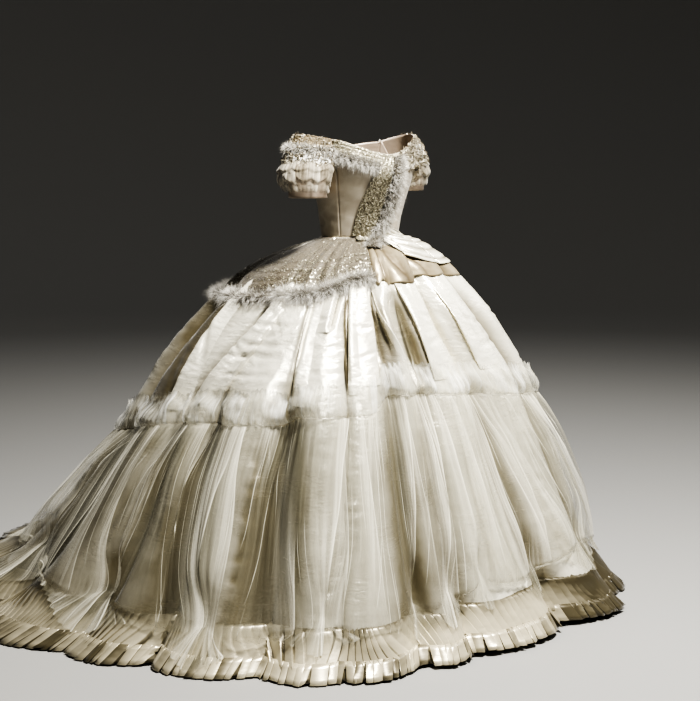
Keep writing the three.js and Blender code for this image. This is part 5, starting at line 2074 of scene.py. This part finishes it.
# ---------- The sleeves ----------
@dataclass
class Sleeve:
    """A short off-the-shoulder sleeve: a satin tube, a tulle puff round it and a cap of metal lace.

    A turn is a share of the way round from the front of the armhole, and a share is one of the way
    from the armhole to the cuff.
    """

    side: str
    turned: int
    reach: float
    cuff: tuple[float, float, float]
    fullness: float
    rise: float = 0.017
    drift: float = 0.016
    cuff_radius: float = 0.051
    bulge: float = 0.012
    clear: float = 0.0026
    wall: float = 0.0008
    cap_end: float = 0.47
    puff_turns: tuple[float, float] = (-0.083, 0.583)
    puff_shares: tuple[float, float] = (0.40, 0.90)
    petals: int = 15
    tiers: float = 2.6
    loop_count: int = 760
    tube_size: tuple[int, int] = (26, 97)
    cap_size: tuple[int, int] = (24, 110)
    puff_size: tuple[int, int] = (38, 270)

    def top(self, turn: Array) -> Array:
        """A point on the sleeve's upper edge."""
        front = TORSO.point(TORSO.arm_front, TORSO.front, self.clear)
        back = TORSO.point(TORSO.arm_back, TORSO.back, self.clear)
        arch = np.sin(2 * np.pi * np.clip(turn, 0, 0.5))[..., None]
        over = mix(front, back, np.clip(2 * turn, 0, 1)[..., None])
        over = over + arch * np.array([self.reach, self.drift, self.rise])
        angle = mix(TORSO.arm_back, TORSO.arm_front, np.clip(2 * turn - 1, 0, 1))
        under = TORSO.point(angle, TORSO.top(angle), self.clear)
        return np.where((turn <= 0.5)[..., None], over, under)

    def skin(self, turn: Array, share: Array) -> Array:
        """A point on the sleeve before it is turned to its side."""
        turn = turn % 1.0
        around = np.pi * (2 * turn - 0.5)
        circle = np.stack([np.cos(around), np.sin(around), 0 * around], axis=-1) * self.cuff_radius
        point = mix(self.top(turn), circle + np.array(self.cuff), share[..., None])
        point[..., 0] += self.bulge * np.sin(np.pi * share) * np.maximum(0, np.cos(around))
        return point

    def point(self, turn: Array, share: Array, lift: Array) -> Array:
        """A point on the sleeve, moved out from the middle of the arm by lift."""
        middle = sum(self.skin(np.full_like(turn, k / 16), share) for k in range(16)) / 16
        point = self.skin(turn, share)
        out = unit((point - middle) * np.array([1.0, 1.0, 0.0]))
        return (point + out * lift[..., None]) * np.array([self.turned, 1, 1])

    def laid(self, turns: Sequence[float], shares: Sequence[float], size: Sequence[int]) -> tuple[Array, ...]:
        """Grids of turns and shares, run so that the cloth faces out on either side."""
        ends = turns if self.turned > 0 else turns[::-1]
        return np.meshgrid(np.linspace(*ends, size[1]), np.linspace(*shares, size[0]))

    def cap_lift(self, t: Array) -> Array:
        """How far the cap stands off the arm, at a share t of its own length."""
        return 0.0032 + 0.013 * smooth(t, 0.0, 0.5)

    def tube_grid(self) -> Array:
        """The satin tube, open at both ends."""
        turn, share = self.laid((0.0, 1.0), (0.0, 1.0), self.tube_size)
        around = 2 * np.pi * turn
        wave = Crumple(91).layered(np.cos(around) * 3, share * 5 + np.sin(around) * 3)
        points = self.point(turn, share, 0.0023 + 0.0012 * wave * np.sin(np.pi * share))
        points[:, -1] = points[:, 0]
        return points

    def cap_grid(self) -> tuple[Array, Array]:
        """The lace cap over the top of the sleeve, and where its edging runs."""
        turn, share = self.laid((-0.02, 0.54), (0.0, self.cap_end), self.cap_size)
        t = share / self.cap_end
        scallop = 0.02 * np.abs(np.sin(np.pi * turn * 26))
        ruffle = 0.003 * t**2 * np.sin(2 * np.pi * turn * 22 + 1.5 * Crumple(92)(turn * 20, t))
        points = self.point(turn, share + scallop * t**3, self.cap_lift(t) + 0.003 * t + ruffle)
        return points, bell(t - 0.96, 0.05) + bell(t - 0.05, 0.05)

    def puff_grid(self) -> tuple[Array, Array]:
        """The puff of tulle in tiers of round petals, and how much it is bunched."""
        noise = Crumple(93)
        turn, share = self.laid(self.puff_turns, self.puff_shares, self.puff_size)
        t = (share - self.puff_shares[0]) / (self.puff_shares[1] - self.puff_shares[0])
        count = turn * self.petals + 0.9 * noise(turn * 6, t * 1.5)
        petal = np.abs(np.sin(np.pi * (count + 0.45 * np.floor(t * self.tiers))))
        level = t * self.tiers - 0.34 * (petal - 0.5) + 0.30 * noise(turn * 7 + 3, t * 2)
        part = level - np.floor(level)
        shell = part**0.9 * (1 - smooth(part, 0.58, 1.0))
        swell = np.sin(np.pi * (0.16 + 0.74 * t)) ** 0.7
        first, last = self.puff_turns
        ends = smooth(turn, first, 0.02) * smooth(last - turn, 0.0, 0.10)
        fine = 0.0008 * np.abs(np.sin(np.pi * (count * 3 + noise(turn * 20, t * 3))))
        frill = 0.0090 * shell * (0.35 + 0.65 * petal**0.6) + fine
        frill = frill + 0.003 * noise.layered(turn * 16 + 7, t * 3, 2) - 0.003
        lift = 0.003 + self.fullness * swell * (0.50 + 0.50 * ends) + frill * (0.4 + 0.6 * swell)
        thin = 0.15 * smooth(part, 0.7, 0.95) * (1 - petal) + 0.30 * smooth(t, 0.88, 1.0)
        return self.point(turn, share, lift), 0.30 * (shell - 0.45) - thin

    def rim(
        self, turns: tuple[float, float], shares: tuple[float, float], size: tuple[int, int], lift: Callable
    ) -> Array:
        """A strip laid over the cap.

        Args:
            turns: The turns that it runs between.
            shares: The shares that it runs between.
            size: Rows and columns of points.
            lift: How far it stands off the cap, from its share down.

        Returns:
            The strip's points.
        """
        turn, share = self.laid(turns, shares, size)
        stand = lift((share - shares[0]) / (shares[1] - shares[0]))
        return self.point(turn, share, self.cap_lift(share / self.cap_end) + stand)

    def loops(self, points: Array) -> Array:
        """Small curled loops of metal thread that stand on the cap, closest at its edge."""
        rng = np.random.default_rng(94 + self.turned)
        rows, columns = points.shape[:2]
        row = (rows - 1) * (1 - rng.uniform(0, 1, self.loop_count) ** 1.6)
        return curls(points, row, rng.uniform(0, columns - 1, self.loop_count), rng)

    def build(self) -> None:
        """Builds the tube, the cap with its loops, and the puff."""
        # The tube takes the darker satin, as painted shade under the puff.
        sleeve = lay(f"satin_sleeve_{self.side}", self.tube_grid(), SHADED_SATIN, Held.STRETCHED,
                     (f"sleeve_{self.side}",), wall=self.wall, closed=True)
        lace, border = self.cap_grid()
        loops = Trim(f"cap_loops_{self.side}", self.loops(lace), SILVER_LOOPS)
        lay(f"lace_cap_{self.side}", lace, SILVER_LACE, Held.DRAPED, (f"sleeve_cap_{self.side}",),
            (sleeve.name,), (loops,), wall=self.wall, border=border)
        net, bunched = self.puff_grid()
        lay(f"tulle_puff_{self.side}", net, PUFF_NET, Held.GATHERED, (f"sleeve_puff_{self.side}",),
            (sleeve.name,), fullness=1.6, bunched=bunched)


def curls(points: Array, row: Array, column: Array, rng: Draws) -> Array:
    """Loops of metal thread curled over a surface.

    Args:
        points: The surface's grid.
        row: The row where each loop stands.
        column: The column where it stands.
        rng: The source of their sizes and turns.

    Returns:
        Points for ribbons().
    """
    count = len(row)
    normals = sample_grid(grid_normals(points), row, column)
    places = sample_grid(points, row, column)
    one = unit(np.cross(normals, rng.normal(0, 1, normals.shape)))
    up = unit(normals + rng.normal(0, 0.45, normals.shape))
    radius = (LOOP_RADIUS * rng.uniform(0.5, 1.2, count))[:, None]
    wide = np.cross(one, up) * rng.uniform(0.0006, 0.0013, count)[:, None]
    rows = []
    for share in np.linspace(0, 1, 10):
        a = 2 * math.pi * LOOP_TURNS * share
        curl = one * math.sin(a) + up * (0.75 - math.cos(a) * (1 - 0.35 * share))
        rows.append(sided(places + radius * curl, wide))
    return np.stack(rows, axis=1)


# ---------- Trimmings on the bodice ----------
def rounded(height: float, rise: float, ends: float = 0.7) -> Callable:
    """A lift for a padded strip, which rises from its edges to its middle."""
    return lambda t, _=None: height + rise * np.sin(np.pi * np.clip(t, 0, 1)) ** ends


def corded(height: float, rise: float) -> Callable:
    """A lift for a galloon with three cords down it."""
    return lambda t, _=None: height + rise * np.abs(np.sin(3 * np.pi * t)) ** 0.5


def edging(size: tuple[int, int], lines: Sequence[tuple[float, float]]) -> Array:
    """Where the worked lines of a strip run: each has its share of the way down and its width."""
    down = np.linspace(0, 1, size[0])[:, None] + np.zeros(size)
    return np.clip(sum(bell(down - at, width) for at, width in lines), 0, 1)


@dataclass
class Scarf:
    """The sequinned scarf across the front of the bodice, and its edge of fur.

    The tables give a share of the bodice's height and the strip's two angles, and the tails give a
    drop below the waist and the two angles there.
    """

    band: Triples = (
        (0.03, -43, -16), (0.30, -36, -5), (0.55, -28, -2), (0.78, -18, -1), (0.99, -7, 3),
    )
    band_size: tuple[int, int] = (70, 24)
    fur_size: tuple[int, int] = (44, 14)
    band_tail: Triples = ((0.001, -43.3, -17), (0.012, -42.5, -20))
    fur: Triples = (
        (0.03, -15.5, 3), (0.30, -4.5, 14), (0.55, -1.5, 16), (0.78, -0.5, 15), (0.97, 3.5, 14),
    )
    fur_tail: Triples = ((0.002, -18, 2), (0.020, -30, -5), (0.034, -33, -17))
    wall: float = 0.0010
    sequin_count: int = 3900

    @staticmethod
    def strip(table: Sequence, tail: Sequence, size: tuple[int, int], lift: Callable) -> Array:
        """A strip down the bodice and over the waist.

        Args:
            table: Its shares of the bodice's height, and its two angles at each.
            tail: Its drops below the waist, and its two angles at each.
            size: Rows and columns of points on the bodice.
            lift: How far it stands off, from the shares across and down it.

        Returns:
            The strip's points.
        """
        rows, columns = size
        shares = np.linspace(table[-1][0], table[0][0], rows)
        share, t = np.meshgrid(shares, np.linspace(0, 1, columns), indexing="ij")
        angle = mix(paired(table, 1)(share), paired(table, 2)(share), t)
        parts = [TORSO.at(angle, share, lift(t, share))]
        t = t[0]
        for drop in np.linspace(tail[0][0], tail[-1][0], rows // 4):
            angle = mix(paired(tail, 1)(drop), paired(tail, 2)(drop), t)
            stand = lift(t, np.full_like(t, -drop)) + 0.005 * smooth(drop, 0.0, 0.02)
            parts.append(FORM.over(FORM.across_at(angle, drop), drop, stand)[None])
        return np.concatenate(parts)

    def build(self) -> None:
        """Builds the scarf, its sequins and its fur."""
        noise = Crumple(102)

        def rolled(t: Array, share: Array) -> Array:
            """The scarf's own folds and raised edges."""
            edges = 0.0022 * (bell(t - 0.04, 0.05) + bell(t - 0.96, 0.05))
            return 0.0022 + edges + 0.0018 * np.abs(np.sin(3 * np.pi * t + 2 * noise(share * 5, t)))

        points = self.strip(self.band, self.band_tail, self.band_size, rolled)
        rng = np.random.default_rng(101)
        row, column = (rng.uniform(0, side - 1, self.sequin_count) for side in points.shape[:2])
        spots = sequins(points, row, column, rng, tilt=0.28, lift=0.0016, sizes=(0.0010, 0.0019))
        lay("sequin_scarf", points, SEQUIN_GROUND, Held.DRAPED, ("scarf",), ("satin_bodice_front",),
            (Trim("scarf_sequins", spots, GOLD_SEQUINS),), wall=self.wall)
        bed = self.strip(self.fur, self.fur_tail, self.fur_size, rounded(0.003, 0.009))
        FurBand("scarf", bed, hairs=6000, length=0.026, seed=103, nodes=("scarf_fur",), down=0.3).build()


@dataclass
class NeckTrim:
    """The trimmings along the neckline: galloon over fur on the right, a lace bertha on the left.

    A band's edges give a share of the bodice's height, and the angle where the band ends.
    """

    sleeve: Sleeve
    start: float = 59.0
    turns: tuple[float, float] = (-0.03, 0.44)
    galloon_edges: Pairs = ((1.0, 6.0), (0.875, 12.5))
    fur_edges: Pairs = ((0.865, 13.0), (0.81, 17.0), (0.765, 20.0))
    lace_edges: Pairs = ((1.0, 14.0), (0.9, 14.0), (0.76, 14.0))
    galloon_size: tuple[int, int] = (18, 130)
    lace_size: tuple[int, int] = (22, 110)
    rim_size: tuple[int, int] = (14, 90)
    fur_size: tuple[int, int] = (10, 90)
    wall: float = 0.0010
    lace_wall: float = 0.0008
    spangle_count: int = 1500
    loop_count: int = 620

    def over_sleeve(self) -> None:
        """Carries the galloon and the fur on over the top of the right sleeve."""
        flat = self.sleeve.rim(self.turns, (-0.01, 0.150), self.rim_size, corded(0.0022, 0.0014))
        border = edging(self.rim_size, ((0.03, 0.08), (0.5, 0.09), (0.97, 0.08)))
        lay("sleeve_galloon", flat, GALLOON, Held.STRETCHED, on=("lace_cap_right",), wall=self.wall,
            border=border)
        bed = self.sleeve.rim(self.turns, (0.17, 0.25), self.fur_size, rounded(0.001, 0.004))
        FurBand("sleeve", bed, hairs=4400, length=0.021, seed=114).build()

    def band(self, sign: int, edges: Sequence, size: tuple[int, int], lift: Callable) -> Array:
        """A band along the neckline.

        Args:
            sign: -1 on the wearer's right, 1 on the left.
            edges: Shares of the bodice's height, and the angle where the band ends at each.
            size: Rows and columns of points.
            lift: How far it stands off, from the shares down and along it.

        Returns:
            The band's points.
        """
        high, low = edges[0][0], edges[-1][0]
        share, t = np.meshgrid(np.linspace(high, low, size[0]), np.linspace(0, 1, size[1]), indexing="ij")
        end = paired(edges[::-1], 1)(share)
        angle = mix(sign * self.start, sign * end, t if sign < 0 else 1 - t)
        return TORSO.at(angle, share, lift((high - share) / (high - low), t))

    def galloon(self, rng: Draws) -> None:
        """Builds the galloon on the right, with its spangles."""
        flat = self.band(-1, self.galloon_edges, self.galloon_size, corded(0.0022, 0.0018))
        border = edging(self.galloon_size, ((0.03, 0.06), (0.36, 0.06), (0.68, 0.06), (0.97, 0.06)))
        row, column = (rng.uniform(0, side - 1, self.spangle_count) for side in self.galloon_size)
        spots = sequins(flat, row, column, rng, tilt=0.25, lift=0.001, sizes=(0.0009, 0.0016))
        lay("gold_galloon", flat, GALLOON, Held.STRETCHED, ("neck_galloon",),
            ("satin_bodice_side_front_right",), (Trim("galloon_spangles", spots, GOLD_SEQUINS),),
            wall=self.wall, border=border)

    def bertha(self, rng: Draws) -> None:
        """Builds the lace bertha on the left, with its loops."""
        noise = Crumple(111)
        rows, columns = self.lace_size

        def ruffled(s: Array, t: Array) -> Array:
            """The lace's own ruffles, which grow towards its edge."""
            return 0.0016 + 0.004 * s + 0.0022 * s * np.sin(40 * t + 2 * noise(t * 14, s))

        lace = self.band(1, self.lace_edges, self.lace_size, ruffled)
        border = edging(self.lace_size, ((0.97, 0.06), (0.0, 0.06)))
        row = (rows - 1) * rng.uniform(0, 1, self.loop_count) ** 1.5
        loops = curls(lace, row, rng.uniform(0, columns - 1, self.loop_count), rng)
        lay("lace_bertha", lace, SILVER_LACE, Held.DRAPED, ("bertha",), ("satin_bodice_side_front_left",),
            (Trim("bertha_loops", loops, SILVER_LOOPS),), wall=self.lace_wall, border=border)

    def build(self) -> None:
        """Builds the bands."""
        rng = np.random.default_rng(112)
        self.galloon(rng)
        bed = self.band(-1, self.fur_edges, self.fur_size, rounded(0.002, 0.005))
        FurBand("neckline", bed, hairs=5600, length=0.021, seed=113, nodes=("neck_fur",)).build()
        self.over_sleeve()
        self.bertha(rng)


# ---------- The studio ----------
@dataclass(frozen=True)
class Lamp:
    """A round soft lamp that faces the gown, placed by angle, elevation and distance from the waist."""

    name: str
    angle: float
    elevation: float
    distance: float
    size: float
    watts: float
    tint: tuple[float, float, float]

    def hang(self) -> None:
        """Hangs the lamp."""
        a, e = math.radians(self.angle), math.radians(self.elevation)
        way = Vector((math.sin(a) * math.cos(e), -math.cos(a) * math.cos(e), math.sin(e)))
        place = way * self.distance
        data = bpy.data.lights.new(self.name, "AREA")
        data.shape = "DISK"
        data.size = self.size
        data.energy = self.watts
        data.color = self.tint
        lamp = bpy.data.objects.new(self.name, data)
        lamp.location = place
        lamp.rotation_euler = (Vector((0.0, 0.0, -0.35)) - place).to_track_quat("-Z", "Y").to_euler()
        bpy.context.scene.collection.objects.link(lamp)


LAMPS = (
    Lamp("key", 4, 57, 2.9, 0.6, 420.0, (1.0, 0.98, 0.94)),
    Lamp("top", -98, 64, 3.8, 0.8, 8.0, (1.0, 1.0, 0.98)),
    Lamp("fill", -40, 14, 4.8, 2.4, 6.0, (0.98, 0.99, 1.0)),
    Lamp("rim", 85, 30, 4.2, 1.6, 24.0, (0.97, 0.98, 1.0)),
    Lamp("back", 142, 40, 4.8, 3.0, 60.0, (1.0, 0.98, 0.95)),
)  # name, angle, elevation, distance, size, watts, tint


@dataclass
class Studio:
    """A pale floor, soft lights and the camera."""

    floor_level: float = -1.075
    room: float = 7.0
    sweep: float = 5.0
    sweep_steps: int = 11
    wall: float = 5.0
    eye: tuple[float, float, float] = (-3.078, -3.940, 0.320)
    heading: float = -38.0
    swing: float = 0.325
    tilt: float = 7.4
    focal: float = 1765 / 701 * 36.0
    sensor: float = 36.0

    def floor(self) -> None:
        """Lays a round floor that sweeps up into a plain wall far behind the gown."""
        bm = bmesh.new()
        bmesh.ops.create_circle(bm, cap_ends=True, segments=128, radius=self.room)
        edge = [e for e in bm.edges if e.is_boundary]
        for step in range(1, self.sweep_steps + 2):
            a = math.pi / 2 * min(step / self.sweep_steps, 1.0)
            rise = self.sweep * (1 - math.cos(a)) + (self.wall if step > self.sweep_steps else 0.0)
            spread = self.room + self.sweep * math.sin(a)
            made = bmesh.ops.extrude_edge_only(bm, edges=edge)["geom"]
            edge = [g for g in made if isinstance(g, bmesh.types.BMEdge) and g.is_boundary]
            for v in {v for e in edge for v in e.verts}:
                across = v.co.xy.normalized() * spread
                v.co = (across.x, across.y, rise)
        bmesh.ops.recalc_face_normals(bm, faces=bm.faces)
        bmesh.ops.translate(bm, verts=bm.verts, vec=(0.0, 0.0, self.floor_level))
        mesh = bpy.data.meshes.new("floor")
        bm.to_mesh(mesh)
        bm.free()
        made = bpy.data.materials.new("pale_floor")
        made.use_nodes = True
        shader = made.node_tree.nodes["Principled BSDF"]
        shader.inputs["Base Color"].default_value = linear(138, 137, 134)
        shader.inputs["Roughness"].default_value = 0.9
        mesh.materials.append(made)
        shown(mesh)

    def camera(self) -> None:
        """Sets the camera at eye height, a little to the gown's right."""
        a, p, t = (math.radians(v) for v in (self.heading, self.swing, self.tilt))
        ahead = Vector((-math.sin(a), math.cos(a), 0.0))
        right = Vector((math.cos(a), math.sin(a), 0.0))
        level = ahead * math.cos(p) - right * math.sin(p)
        look = level * math.cos(t) - Vector((0.0, 0.0, 1.0)) * math.sin(t)
        data = bpy.data.cameras.new("camera")
        data.lens = self.focal
        data.sensor_width = self.sensor
        camera = bpy.data.objects.new("camera", data)
        camera.location = self.eye
        camera.rotation_euler = look.to_track_quat("-Z", "Y").to_euler()
        bpy.context.scene.collection.objects.link(camera)
        bpy.context.scene.camera = camera

    def build(self) -> None:
        """Sets up the floor, the lights, the backdrop's tone and the camera."""
        self.floor()
        for lamp in LAMPS:
            lamp.hang()
        world = bpy.data.worlds.new("studio")
        world.use_nodes = True
        tone = world.node_tree.nodes["Background"]
        tone.inputs["Color"].default_value = linear(205, 206, 208)
        tone.inputs["Strength"].default_value = 0.06
        bpy.context.scene.world = world
        bpy.context.scene.view_settings.look = "AgX - High Contrast"
        self.camera()


def main() -> None:
    """Builds the gown piece by piece."""
    logging.basicConfig(level=logging.INFO, format="%(name)s: %(message)s")
    right = Sleeve("right", turned=-1, reach=0.064, cuff=(0.203, -0.028, 0.112), fullness=0.032)
    left = Sleeve("left", turned=1, reach=0.052, cuff=(0.196, 0.036, 0.122), fullness=0.020)
    parts = (Studio(), SatinSkirt(), Flounce(), Overskirt(), Heading(), Peplum(), HipDrape(), Sash(),
             Bodice(), right, left, Scarf(), NeckTrim(right))
    for part in parts:
        part.build()


if __name__ == "__main__":
    main()
